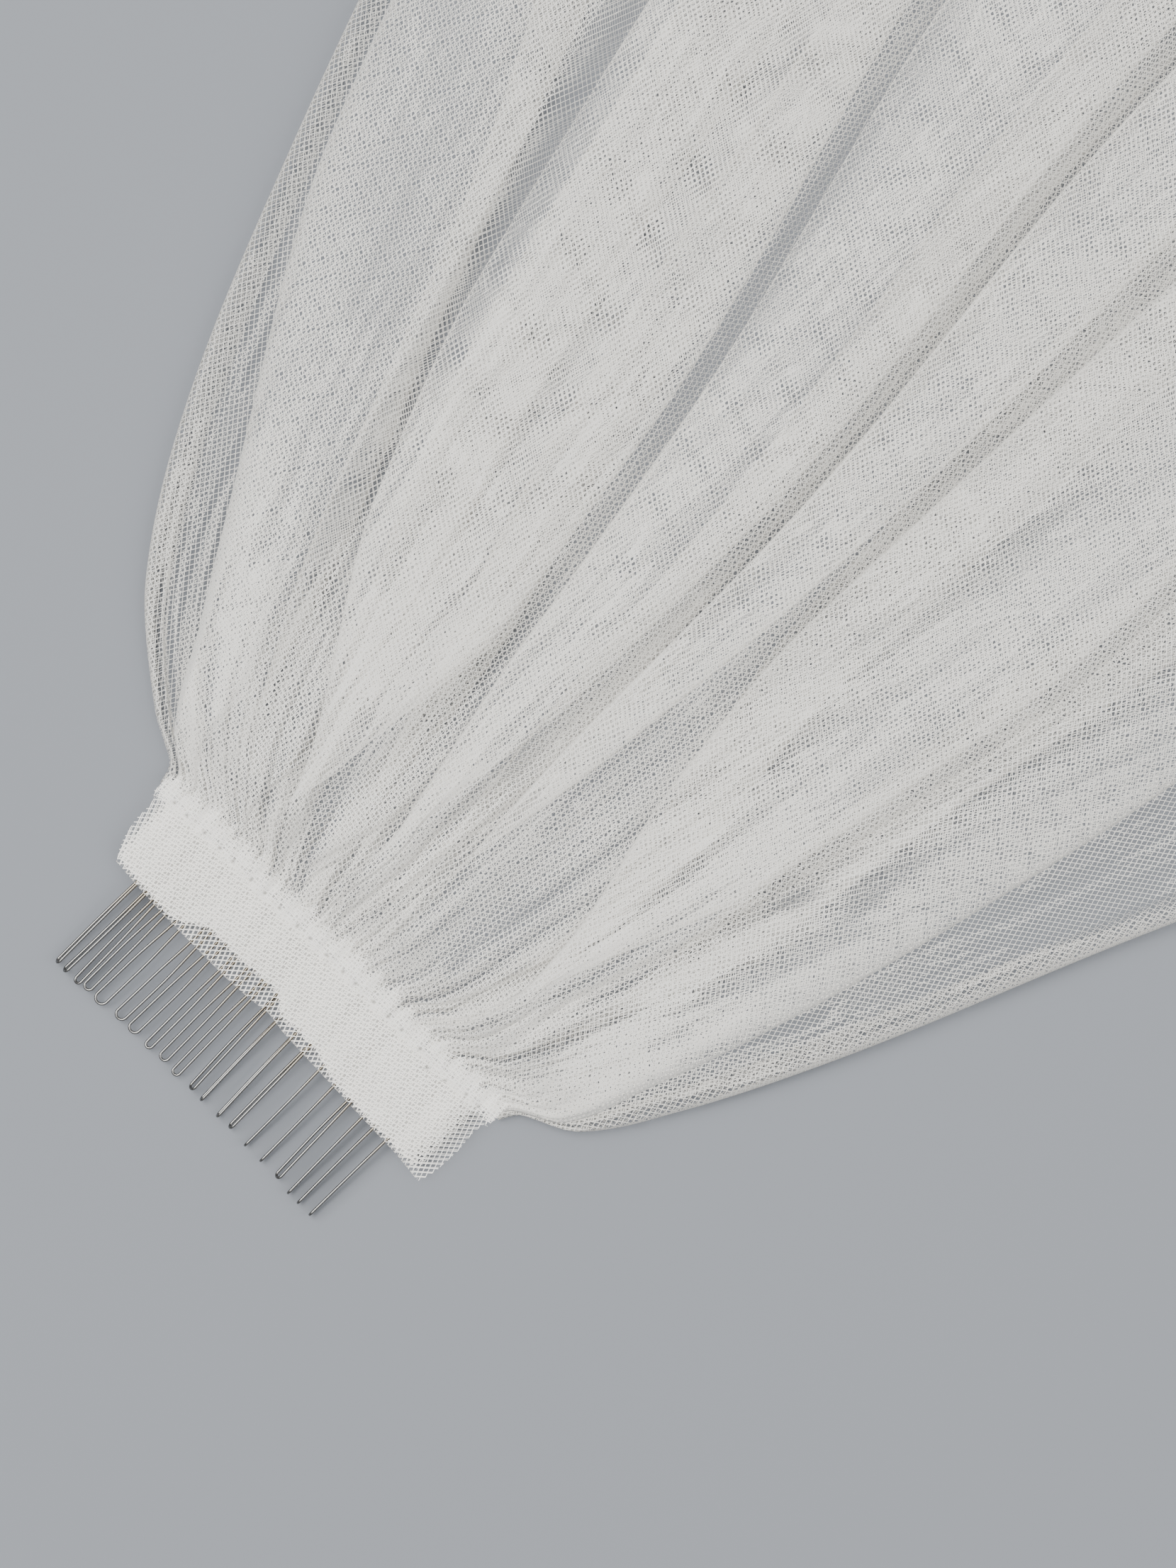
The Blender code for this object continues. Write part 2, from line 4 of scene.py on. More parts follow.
import bpy
import numpy as np
from bpy.props import FloatProperty, FloatVectorProperty, IntProperty, PointerProperty
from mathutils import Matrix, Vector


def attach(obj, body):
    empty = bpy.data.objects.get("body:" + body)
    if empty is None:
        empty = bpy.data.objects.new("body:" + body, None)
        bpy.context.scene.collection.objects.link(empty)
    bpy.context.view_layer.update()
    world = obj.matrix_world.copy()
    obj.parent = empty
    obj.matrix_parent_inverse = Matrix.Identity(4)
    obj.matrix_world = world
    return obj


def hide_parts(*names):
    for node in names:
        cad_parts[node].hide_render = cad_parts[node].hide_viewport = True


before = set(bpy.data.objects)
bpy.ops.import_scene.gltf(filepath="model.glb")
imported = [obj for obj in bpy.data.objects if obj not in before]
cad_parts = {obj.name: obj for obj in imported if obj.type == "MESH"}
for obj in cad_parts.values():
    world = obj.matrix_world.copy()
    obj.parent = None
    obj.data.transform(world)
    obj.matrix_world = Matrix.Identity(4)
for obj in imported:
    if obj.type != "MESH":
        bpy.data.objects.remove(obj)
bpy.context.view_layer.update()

bl_info = {
    "name": "Bridal Veil",
    "version": (1, 0, 0),
    "blender": (4, 5, 0),
    "location": "3D View > Sidebar > Veil",
    "description": "Two gathered tiers of see-through tulle on a wrapped wire hair comb, laid out flat",
    "category": "Object",
}

MM = 0.001

# Sizes shared with the solids, in millimetres. Every y is measured from the seam
WALL = 1.0
SEAM_GAP = 0.3
LOWER_LENGTH = 750.0
UPPER_LENGTH = 600.0
BAND_LENGTH = 97.0
BAND_WIDTH = 18.3
BAND_HEIGHT = 5.9
SEAM_DEPTH = 4.0
SPINE_RADIUS = 1.1
SPINE_Y = -3.2
WIRE_RADIUS = 0.31
LEG_SPACING = 1.7
ORIGIN_Y = -BAND_WIDTH / 2

# Half-widths of the spread veil, from its middle line
Spread = namedtuple("Spread", "y left right")
SPREAD = (
    Spread(0, 50, 49.5),
    Spread(4, 51, 52),
    Spread(10, 61, 63),
    Spread(28, 82, 75),
    Spread(60, 102, 91),
    Spread(115, 125, 114),
    Spread(182, 149, 143),
    Spread(260, 176, 171),
    Spread(450, 243, 238),
    Spread(750, 340, 334),
)

# Each fold lies between two lines from the seam to the hem, given as shares of the half-width
LINE_Y = (0, 30, 120, 240, 750)
Fold = namedtuple("Fold", "name lean left right height")
LOWER_FOLDS = (
    Fold("left_rim", "left", (-1.00, -1.00, -1.00, -1.00, -1.00), (-0.94, -0.93, -0.955, -0.965, -0.97), 4.5),
    Fold("hook", "left", (-0.74, -0.62, -0.68, -0.84, -0.84), (-0.74, -0.53, -0.635, -0.72, -0.70), 7.0),
    Fold("left_outer", "left", (-0.50, -0.44, -0.56, -0.58, -0.58), (-0.50, -0.32, -0.42, -0.45, -0.48), 9.0),
    Fold("left_inner", "left", (-0.26, -0.25, -0.36, -0.41, -0.43), (-0.26, -0.15, -0.25, -0.345, -0.37), 8.0),
    Fold("middle", "left", (-0.02, -0.02, -0.06, -0.14, -0.20), (-0.02, 0.07, 0.03, -0.04, -0.06), 8.5),
    Fold("right_inner", "right", (0.37, 0.37, 0.17, 0.10, 0.10), (0.37, 0.48, 0.31, 0.26, 0.26), 8.0),
    Fold("right_outer", "right", (0.65, 0.60, 0.50, 0.44, 0.42), (0.65, 0.70, 0.62, 0.57, 0.56), 8.0),
    Fold("right_rim", "right", (0.94, 0.93, 0.95, 0.96, 0.965), (1.00, 1.00, 1.00, 1.00, 1.00), 4.5),
)
UPPER_FOLDS = (
    Fold("left_rim", "left", (-0.97, -0.80, -0.935, -0.955, -0.96), (-0.90, -0.615, -0.645, -0.675, -0.70), 10.0),
    Fold("left", "left", (-0.50, -0.50, -0.595, -0.61, -0.62), (-0.50, -0.19, -0.225, -0.335, -0.40), 8.5),
    Fold("middle", "left", (-0.22, -0.13, -0.185, -0.295, -0.34), (-0.22, -0.02, 0.00, -0.065, -0.10), 8.0),
    Fold("seam_line", "left", (0.12, 0.06, 0.04, -0.03, -0.05), (0.12, 0.12, 0.15, 0.12, 0.13), 7.0),
    Fold("right", "left", (0.46, 0.38, 0.19, 0.16, 0.14), (0.46, 0.56, 0.54, 0.42, 0.33), 8.5),
    Fold("right_rim", "right", (0.90, 0.64, 0.60, 0.48, 0.38), (0.97, 0.885, 0.80, 0.67, 0.58), 9.0),
)
SEAM_RISE = 1.8
RISE_LENGTH = 26.0
TURN_RUN = 1.9
GATHER_LENGTH = 45.0
HEM_ARC = 0.10
HEM_CORNER = 0.10
HEM_SWELL = 0.9
HEM_START = 200.0
TIER_GAP = 1.6
DRAPE_LENGTH = 14.0
STEP_RUN = 1.1
WIDE_GAP = 14.0
LAP_START = 4.0
LAP_LENGTH = 70.0
RIM_SHARE = 0.85
MAP_STEP = 2.5
MAP_MARGIN = 30.0
MAP_REACH = 4

# Points from each key of a fold to the next, for the free edge's fold and for the others
RIM_COUNTS = (10, 3, 3, 8, 5, 7, 7, 6)
FOLD_COUNTS = (8, 3, 4, 9, 4, 3, 10, 5, 7, 7, 6)
RIM_TURNS = (2,)
FOLD_TURNS = (2, 5)

# The net's cells are pulled longer along the cloth: how much finer it is across, and how much coarser along
CELL = (1.12, 0.78)
LEAST_LAYERS = 0.5          # the net never gets thinner than this share of a flat layer
EDGE_EXTRA = 2.5            # how many more layers a fold's turning edge shows
EDGE_WIDTH = 0.9            # in a line of this half-width

# Small open places between the gathers, where little cloth lies: centre, half-sizes and how open
Opening = namedtuple("Opening", "x y turn half_x half_y share")
OPENINGS = (
    Opening(-1.6, 61, 4, 0.7, 9.0, 0.98),
    Opening(70.5, 91, -12, 3.2, 11.0, 0.97),
    Opening(60.5, 76, -20, 1.8, 6.0, 0.80),
    Opening(20.0, 27, -10, 8.0, 23.0, 0.60),
    Opening(-82.0, 145, 16.6, 4.8, 62.0, 0.85),
    Opening(-100.0, 120, 24, 13.0, 60.0, 0.42),
    Opening(-36.0, 172, 11, 3.8, 70.0, 0.86),
    Opening(-15.0, 175, 7, 2.4, 60.0, 0.50),
    Opening(38.0, 150, -12, 2.6, 50.0, 0.40),
    Opening(-34.0, 18, 20, 3.0, 9.0, 0.30),
    Opening(-52.0, 8, 40, 3.0, 8.0, 0.30),
    Opening(53.0, 12, -45, 3.0, 9.0, 0.30),
    Opening(116.0, 132, -25, 1.6, 48.0, 0.65),
)

# The wrap's open edge along the comb, and its two ends from the seam (0) to the open edge (1)
Reach = namedtuple("Reach", "x reach")
WRAP_EDGE = (
    Reach(-50, 17.3),
    Reach(-45, 17.6),
    Reach(-38, 18.1),
    Reach(-30, 18.5),
    Reach(-12, 18.6),
    Reach(-5, 18.2),
    Reach(0, 17.5),
    Reach(5, 18.2),
    Reach(12, 18.5),
    Reach(28, 19.1),
    Reach(40, 19.5),
    Reach(47, 20.3),
    Reach(50, 19.8),
)
End = namedtuple("End", "share left right")
WRAP_ENDS = (
    End(0.0, 49.6, 49.3),
    End(0.12, 48.8, 48.2),
    End(0.25, 48.2, 47.8),
    End(0.5, 48.2, 48.3),
    End(0.75, 47.3, 48.1),
    End(0.9, 46.2, 47.7),
    End(1.0, 45.0, 46.9),
)

# Teeth: where each leaves the wrap and ends, and how wide its loop looks from above
Tooth = namedtuple("Tooth", "root_x tip_x tip_y width")
TEETH = (
    Tooth(-38.2, -38.8, -41.5, 0.7),
    Tooth(-35.9, -36.4, -41.7, 0.8),
    Tooth(-33.4, -33.0, -41.7, 1.5),
    Tooth(-29.9, -30.6, -41.2, 1.9),
    Tooth(-25.9, -26.9, -41.5, 2.7),
    Tooth(-21.2, -21.6, -40.8, 2.4),
    Tooth(-17.3, -17.7, -40.8, 2.4),
    Tooth(-13.2, -13.0, -40.8, 1.6),
    Tooth(-9.1, -9.0, -40.4, 2.0),
    Tooth(-5.1, -5.0, -40.8, 1.7),
    Tooth(-1.2, -0.4, -40.4, 1.1),
    Tooth(2.4, 2.8, -40.6, 0.3),
    Tooth(6.9, 7.6, -40.6, 0.3),
    Tooth(10.9, 11.1, -40.4, 0.7),
    Tooth(15.4, 16.0, -40.8, 0.0),
    Tooth(20.0, 20.6, -40.8, 0.0),
    Tooth(25.0, 25.4, -40.8, 1.1),
    Tooth(29.2, 29.4, -41.5, 0.0),
    Tooth(32.7, 32.3, -41.5, 0.0),
    Tooth(36.5, 35.8, -41.5, 0.0),
)
TOOTH_HEIGHT = 2.5
TIP_HEIGHT = 1.35
TOOTH_BEND_Y = -20.0


class VeilTierSettings(bpy.types.PropertyGroup):
    """Sizes and looks of the two gathered tiers."""

    rows: IntProperty(name="Rows", description="Rows of points from the seam to the hem", default=200, min=20,
                      max=220)
    crease_height: FloatProperty(name="Crease height", description="How high the small gathers stand at the comb",
                                 default=0.0008, unit="LENGTH")
    cloth_width: FloatProperty(name="Cloth width", description="Width of each tier before it is gathered",
                               default=0.85, unit="LENGTH")
    net_pitch: FloatProperty(name="Net pitch", description="Distance between neighbouring threads of the net",
                             default=0.00095, unit="LENGTH")
    cover: FloatProperty(name="Cover", description="Share of a single flat layer that is thread", default=0.20,
                         subtype="FACTOR", min=0.05, max=0.9)


class VeilWrapSettings(bpy.types.PropertyGroup):
    """Sizes of the wrap round the comb, its heading and its stitches."""

    mouth: FloatProperty(name="Mouth", description="Clear height between the wrap's layers at the teeth",
                         default=0.0013, unit="LENGTH")
    ruffle: FloatProperty(name="Ruffle", description="Height of the small ruffles in the heading",
                          default=0.0005, unit="LENGTH")
    stitch_pitch: FloatProperty(name="Stitch pitch", description="Distance between the stitches along the seam",
                                default=0.0045, unit="LENGTH")


class VeilCombSettings(bpy.types.PropertyGroup):
    """Looks of the comb's wire."""

    wire_sides: IntProperty(name="Wire sides", description="Points round a tooth's wire", default=12, min=6, max=32)
    wire_colour: FloatVectorProperty(name="Wire colour", description="Colour of the polished wire",
                                     default=(0.24, 0.235, 0.225), subtype="COLOR", size=3, min=0, max=1)


class VeilStageSettings(bpy.types.PropertyGroup):
    """The floor, the lights and the camera."""

    camera_height: FloatProperty(name="Camera height", description="Height of the camera over the floor",
                                 default=0.95, unit="LENGTH")
    view_height: FloatProperty(name="View height", description="Length of floor that the picture's long side shows",
                               default=0.3277, unit="LENGTH")
    view_turn: FloatProperty(name="View turn", description="Turn of the picture round the line of sight",
                             default=math.radians(45), subtype="ANGLE")


def linear(hex_colour):
    """A colour written as RRGGBB, as linear red, green, blue and a one."""
    parts = [int(hex_colour[i:i + 2], 16) / 255 for i in (0, 2, 4)]
    return [p / 12.92 if p <= 0.04045 else ((p + 0.055) / 1.055) ** 2.4 for p in parts] + [1.0]


def add_node(tree, kind, inputs=(), **settings):
    """A node with its settings and its inputs, each a value or another node's output socket."""
    node = tree.nodes.new(kind)
    for name, value in settings.items():
        setattr(node, name, value)
    for key, value in dict(inputs).items():
        if isinstance(value, bpy.types.NodeSocket):
            tree.links.new(value, node.inputs[key])
        else:
            node.inputs[key].default_value = value
    return node


def maths(tree, operation, *values, clamp=False):
    """The output of a Math node."""
    return add_node(tree, "ShaderNodeMath", dict(enumerate(values)), operation=operation, use_clamp=clamp).outputs[0]


def new_material(name):
    """An empty Principled material: its tree and its shader."""
    material = bpy.data.materials.new(name)
    material.use_nodes = True
    tree = material.node_tree
    return material, tree, tree.nodes["Principled BSDF"]


# Where more cloth than this lies together, the next layers are drawn as a second net, turned against the
# first. The threads of all the layers past that lie too close to be told apart, and are an even veil
FIRST_LAYERS = 1.7
SECOND_LAYERS = 2.6
SECOND_TURN = math.radians(24)
SECOND_PITCH = 0.83


def net_alpha(tree, place, layers, pitch, cover):
    """How much of a place is thread: two sets of diagonal threads, wider where more layers lie together."""
    split = add_node(tree, "ShaderNodeSeparateXYZ", {0: place})
    width = maths(tree, "SUBTRACT", 1.0, maths(tree, "POWER", math.sqrt(1 - cover), layers))
    half = maths(tree, "MULTIPLY", width, 0.5)
    low, high = maths(tree, "SUBTRACT", half, 0.03), maths(tree, "ADD", half, 0.03)
    spacing = 1.0 / (pitch * math.sqrt(2))
    threads = []
    for sign in (1.0, -1.0):
        crossing = maths(tree, "MULTIPLY_ADD", split.outputs[1], sign, split.outputs[0])
        distance = maths(tree, "PINGPONG", maths(tree, "MULTIPLY", crossing, spacing), 0.5)
        threads.append(add_node(tree, "ShaderNodeMapRange", {"Value": distance, "From Min": high, "From Max": low},
                                interpolation_type="SMOOTHSTEP").outputs[0])
    present = maths(tree, "MULTIPLY", layers, 3.0, clamp=True)
    return maths(tree, "MULTIPLY", maths(tree, "MAXIMUM", *threads), present)


def tulle_material(name, pitch, cover, thread, evenness):
    """Soft nylon tulle: two sets of diagonal threads with clear holes between them.

    The net's own coordinates are in millimetres, so the pitch is one too. Where the cloth is gathered or
    stands on edge more threads lie over each other, and each thread is drawn wider: a layer of density n
    lets through (1 - cover) to the power n. Long faint streaks along the cloth are its finest gathers."""
    material, tree, shader = new_material(name)
    across = add_node(tree, "ShaderNodeUVMap", uv_map="net").outputs["UV"]
    along = add_node(tree, "ShaderNodeUVMap", uv_map="cloth").outputs["UV"]
    density = add_node(tree, "ShaderNodeAttribute", attribute_name="layers").outputs["Fac"]
    gather = add_node(tree, "ShaderNodeAttribute", attribute_name="gather").outputs["Fac"]

    # The finest gathers are long and narrow, so the noise is stretched along the cloth
    stretched = add_node(tree, "ShaderNodeVectorMath", {0: along, 1: (0.30, 0.022, 1.0)}, operation="MULTIPLY")
    streak = add_node(tree, "ShaderNodeTexNoise",
                      {"Vector": stretched.outputs[0], "Scale": 1.0, "Detail": 1.5, "Roughness": 0.5},
                      noise_dimensions="2D").outputs["Fac"]
    broad = add_node(tree, "ShaderNodeMapRange",
                     {"Value": streak, "From Min": 0.34, "From Max": 0.66, "To Min": -0.8, "To Max": 0.7},
                     interpolation_type="SMOOTHSTEP").outputs[0]
    off_line = maths(tree, "ABSOLUTE", maths(tree, "SUBTRACT", streak, 0.5))
    line = add_node(tree, "ShaderNodeMapRange",
                    {"Value": off_line, "From Min": 0.0, "From Max": 0.035, "To Min": 2.4, "To Max": 0.0},
                    interpolation_type="SMOOTHSTEP").outputs[0]
    raised = maths(tree, "MULTIPLY_ADD", broad, gather, 1.0)
    crisp = maths(tree, "MULTIPLY_ADD", gather, 0.8, 0.2)
    layers = maths(tree, "MULTIPLY", density, maths(tree, "MULTIPLY_ADD", line, crisp, raised))
    first = net_alpha(tree, across, maths(tree, "MINIMUM", layers, FIRST_LAYERS), pitch, cover)
    turned = add_node(tree, "ShaderNodeMapping", {"Vector": across, "Rotation": (0.0, 0.0, SECOND_TURN)}).outputs[0]
    rest = maths(tree, "MAXIMUM", maths(tree, "SUBTRACT", layers, FIRST_LAYERS), 0.0)
    second = net_alpha(tree, turned, maths(tree, "MINIMUM", rest, SECOND_LAYERS), pitch * SECOND_PITCH, cover)
    even = maths(tree, "MAXIMUM", maths(tree, "SUBTRACT", rest, SECOND_LAYERS), 0.0)
    veil = maths(tree, "MULTIPLY", maths(tree, "SUBTRACT", 1.0, maths(tree, "POWER", 1 - cover, even)), evenness)
    threads = maths(tree, "MAXIMUM", first, second)
    clear = maths(tree, "SUBTRACT", 1.0, threads)
    net = maths(tree, "MULTIPLY_ADD", clear, veil, threads)
    # Painted shade in the needle's holes along the seam: where this attribute is set, the thread's colour is mixed
    # towards the dark grey 504D48.
    painted_pinhole_shade = add_node(tree, "ShaderNodeAttribute", attribute_name="painted_pinhole_shade").outputs["Fac"]
    colour = add_node(tree, "ShaderNodeMix", {"Factor": painted_pinhole_shade}, data_type="RGBA")
    colour.inputs[6].default_value = linear(thread)
    colour.inputs[7].default_value = linear("504D48")
    tree.links.new(colour.outputs[2], shader.inputs["Base Color"])
    shader.inputs["Roughness"].default_value = 0.8
    shader.inputs["Sheen Weight"].default_value = 0.15
    tree.links.new(net, shader.inputs["Alpha"])
    return material


def wire_material(name, colour):
    """Polished silver-plated steel wire: a mirror finish with fine drawing marks, warmer near the wrap."""
    material, tree, shader = new_material(name)
    place = add_node(tree, "ShaderNodeTexCoord").outputs["Object"]
    marks = add_node(tree, "ShaderNodeTexNoise", {"Vector": place, "Scale": 2600.0, "Detail": 2.0})
    split = add_node(tree, "ShaderNodeSeparateXYZ", {0: place})
    near_wrap = add_node(tree, "ShaderNodeMapRange",
                         {"Value": split.outputs[1], "From Min": -0.018, "From Max": -0.008}).outputs[0]
    warmed = add_node(tree, "ShaderNodeMix", {"Factor": near_wrap, "A": (*colour, 1.0), "B": linear("857C6E")},
                      data_type="RGBA")
    for key, value in (("A", (*colour, 1.0)), ("B", linear("857C6E"))):
        warmed.inputs[6 if key == "A" else 7].default_value = value
    bump = add_node(tree, "ShaderNodeBump",
                    {"Height": marks.outputs[0], "Strength": 0.3, "Distance": 0.00004})
    rough = add_node(tree, "ShaderNodeMapRange", {"Value": marks.outputs[0], "To Min": 0.10, "To Max": 0.26})
    tree.links.new(warmed.outputs[2], shader.inputs["Base Color"])
    tree.links.new(rough.outputs[0], shader.inputs["Roughness"])
    tree.links.new(bump.outputs[0], shader.inputs["Normal"])
    shader.inputs["Metallic"].default_value = 1.0
    return material


def floor_material():
    """Matt pale grey paint."""
    material, tree, shader = new_material("Matt pale floor")
    shader.inputs["Base Color"].default_value = linear("86898E")
    shader.inputs["Roughness"].default_value = 0.9
    return material


def smooth_step(t):
    t = np.clip(t, 0.0, 1.0)
    return t * t * (3.0 - 2.0 * t)


def table_value(y, stations, values):
    """A smooth curve through table values: cubic between stations, never past its neighbours."""
    y = np.asarray(y, float)
    stations = np.asarray(stations, float)
    values = np.asarray(values, float)
    slopes = np.diff(values) / np.diff(stations)
    total = slopes[:-1] + slopes[1:]
    inner = np.where(slopes[:-1] * slopes[1:] > 0,
                     2.0 * slopes[:-1] * slopes[1:] / np.where(total == 0, 1.0, total), 0.0)
    tangents = np.concatenate(([slopes[0]], inner, [slopes[-1]]))
    span = np.clip(np.searchsorted(stations, y) - 1, 0, len(stations) - 2)
    width = stations[span + 1] - stations[span]
    t = (y - stations[span]) / width
    return ((1 + 2 * t) * (1 - t) ** 2 * values[span] + t * (1 - t) ** 2 * width * tangents[span]
            + t * t * (3 - 2 * t) * values[span + 1] + t * t * (t - 1) * width * tangents[span + 1])


def half_widths(y):
    stations = [row.y for row in SPREAD]
    return (table_value(y, stations, [row.left for row in SPREAD]),
            table_value(y, stations, [row.right for row in SPREAD]))


def line_x(shares, y):
    """Where a fold's line lies at distances from the seam."""
    share = table_value(y, LINE_Y, shares)
    left, right = half_widths(y)
    return share * np.where(share < 0, left, right)


def rise(height, y):
    """A fold's height: low under the heading, full height further out, tallest at the hem."""
    grown = 1.0 - np.exp(-np.maximum(0.0, y - SEAM_DEPTH) / RISE_LENGTH)
    return SEAM_RISE + (height * (1 + HEM_SWELL * y / LOWER_LENGTH) - SEAM_RISE) * grown


def curve_through(keys, counts):
    """Centripetal Catmull-Rom curves through key points, one curve for each row.

    keys is an array of key, row and x or z. A span between two keys is blended from straight lines
    through four neighbouring keys, whose knots are the square roots of the distances between them."""
    padded = np.concatenate(([2 * keys[0] - keys[1]], keys, [2 * keys[-1] - keys[-2]]))
    steps = np.sqrt(np.linalg.norm(np.diff(padded, axis=0), axis=2)) + 1e-6
    knots = np.concatenate((np.zeros_like(steps[:1]), np.cumsum(steps, axis=0)))
    parts = []
    for span, count in enumerate(counts, start=1):
        p = padded[span - 1:span + 3]
        k = knots[span - 1:span + 3]
        share = (np.arange(count) / count)[:, None]
        t = k[1] + share * (k[2] - k[1])

        def between(a, b, low, high):
            part = ((t - k[low]) / (k[high] - k[low]))[..., None]
            return (1 - part) * a + part * b

        a1 = between(p[0], p[1], 0, 1)
        a2 = between(p[1], p[2], 1, 2)
        a3 = between(p[2], p[3], 2, 3)
        parts.append(between(between(a1, a2, 0, 2), between(a2, a3, 1, 3), 1, 2))
    return np.concatenate(parts + [keys[-1:]])


def fold_keys(left, right, height, start, end, drop_x, full, free_edge, gather):
    """Key points of one fold that leans left, as arrays over the rows.

    The cloth runs right on the bottom layer to the lower turn, back left as the middle layer, round the
    upper turn and right again as the top layer, then drops past the lower turn and sinks to the end.
    full is 1 where the valley behind the fold is too narrow for the cloth to sink to the bottom."""
    width = right - left
    lapped = np.clip(width / (2.5 * TURN_RUN), 0.0, 1.0)
    run = TURN_RUN * lapped
    lean = STEP_RUN * (1 - lapped)
    base = np.full_like(left, WALL / 2)
    if free_edge:
        reach = np.minimum(0.35 * height, 0.5 * width)
        keys = [(right, base), (left + reach, base + 0.06 * height), (left, base + 0.48 * height),
                (left + reach, base + 0.94 * height)]
    else:
        keys = [start, (right - TURN_RUN - 0.5 * lean, base), (right - lean, base + 0.22 * height),
                (right - run - 0.3 * lean, base + 0.44 * height),
                (left + run + 0.3 * lean, base + 0.56 * height),
                (left + lean, base + 0.78 * height), (left + TURN_RUN + 0.5 * lean, base + height)]
    shoulder = np.maximum(right - 0.2 * width, keys[-1][0] + 1.0)
    past = np.maximum(right + 0.35 * TURN_RUN, shoulder + 1.2)
    keys += [(shoulder, base + height), (past, base + 0.84 * height)]
    dip_x = past + (0.5 - 0.1 * gather) * (drop_x - past)
    ridge_x = drop_x - 0.15 * gather * (drop_x - past)
    dip_z = 0.48 - 0.33 * gather
    ridge_z = 0.14 + 0.42 * gather
    dip_x = (1 - full) * dip_x + full * (past + (end[0] - past) / 3)
    ridge_x = (1 - full) * ridge_x + full * (past + (end[0] - past) * 2 / 3)
    dip_z = (1 - full) * dip_z + full * 0.75
    ridge_z = (1 - full) * ridge_z + full * 0.65
    keys += [(dip_x, base + dip_z * height), (ridge_x, base + ridge_z * height), end]
    return keys


def fold_lines(fold, y):
    """A fold's two lines. Its layers only start to lap over each other a little way from the seam."""
    left, right = line_x(fold.left, y), line_x(fold.right, y)
    if abs(fold.left[0]) > RIM_SHARE:
        return left, right
    lap = smooth_step((y - LAP_START) / LAP_LENGTH)
    middle = (left + right) / 2
    return middle + lap * (left - middle), middle + lap * (right - middle)


def boundary(before, after, y):
    """Where one fold's points end and the next one's begin: the end, the drops on both sides, and full."""
    base = np.full_like(y, WALL / 2)
    zero = np.zeros_like(y)
    before_left, before_right = fold_lines(before, y)
    after_left, after_right = fold_lines(after, y)
    if before.lean == "left" and after.lean == "left":
        x = np.minimum(after_left + 0.35 * (after_right - after_left), after_right - 2.2 * TURN_RUN)
        return (x, base), np.minimum(after_left + 1.0, x - 1.2), x, zero
    if before.lean == "right" and after.lean == "right":
        x = np.maximum(before_right - 0.35 * (before_right - before_left), before_left + 2.2 * TURN_RUN)
        return (x, base), x, np.maximum(before_right - 1.0, x + 1.2), zero
    gap = after_left - before_right
    held = 0.6 * (1.0 - smooth_step(gap / 25.0))
    x = (before_right + after_left) / 2
    level = base + held * np.minimum(rise(before.height, y), rise(after.height, y))
    full = 1.0 - smooth_step((gap - WIDE_GAP + 3) / 6)
    return (x, level), x - 0.15 * gap, x + 0.15 * gap, full


def sections(folds, y):
    """A tier's cross-sections as rows of x and z, and for each column the span of cloth it belongs to."""
    gather = np.exp(-y / GATHER_LENGTH)
    pieces, columns = [], []
    start, start_drop, start_full = None, None, None
    span = 0
    for index, fold in enumerate(folds):
        left, right = fold_lines(fold, y)
        height = rise(fold.height, y)
        first, last = index == 0, index == len(folds) - 1
        counts, turns = (RIM_COUNTS, RIM_TURNS) if first or last else (FOLD_COUNTS, FOLD_TURNS)
        end, end_drop, next_drop, full = (None,) * 4 if last else boundary(fold, folds[index + 1], y)
        if fold.lean == "left":
            keys = fold_keys(left, right, height, start, end, end_drop, full, first, gather)
        else:
            mirror_start = None if last else (-end[0], end[1])
            keys = fold_keys(-right, -left, height, mirror_start, (-start[0], start[1]), -start_drop, start_full,
                             last, gather)
            keys = [(-x, z) for x, z in reversed(keys)]
            turns = [len(keys) - 1 - turn for turn in turns]
            counts = counts[::-1]
        points = curve_through(np.array(keys).transpose(0, 2, 1), counts)
        for key, count in enumerate(counts):
            span += key in turns
            columns += [span] * count
        pieces.append(points if first else points[1:])
        start, start_drop, start_full = end, next_drop, full
    grid = np.concatenate(pieces).transpose(1, 0, 2)
    return grid, np.array(columns)


def top_surface(grid):
    """A height map of a tier's upper side, widened and smoothed, so that a tier above clears it."""
    low_x, low_y = grid[..., 0].min() - MAP_MARGIN, -MAP_MARGIN
    across = int((grid[..., 0].max() + MAP_MARGIN - low_x) / MAP_STEP) + 2
    along = int((grid[..., 1].max() + MAP_MARGIN - low_y) / MAP_STEP) + 2
    level = np.zeros((along, across))
    for s in np.linspace(0.0, 1.0, 4, endpoint=False):
        rows = grid[:-1] * (1 - s) + grid[1:] * s
        for t in np.linspace(0.0, 1.0, 4, endpoint=False):
            points = rows[:, :-1] * (1 - t) + rows[:, 1:] * t
            column = ((points[..., 0] - low_x) / MAP_STEP).astype(int)
            row = ((points[..., 1] - low_y) / MAP_STEP).astype(int)
            np.maximum.at(level, (row, column), points[..., 2])
    for axis in (0, 1):
        level = np.max([np.roll(level, shift, axis) for shift in range(-MAP_REACH, MAP_REACH + 1)], axis=0)
    for axis in (0, 1, 0, 1):
        level = np.mean([np.roll(level, shift, axis) for shift in (-2, -1, 0, 1, 2)], axis=0)

    def read(x, y):
        u = np.clip((x - low_x) / MAP_STEP - 0.5, 0, across - 2)
        v = np.clip((y - low_y) / MAP_STEP - 0.5, 0, along - 2)
        i, j = v.astype(int), u.astype(int)
        f, g = v - i, u - j
        return ((1 - f) * ((1 - g) * level[i, j] + g * level[i, j + 1])
                + f * ((1 - g) * level[i + 1, j] + g * level[i + 1, j + 1]))

    return read


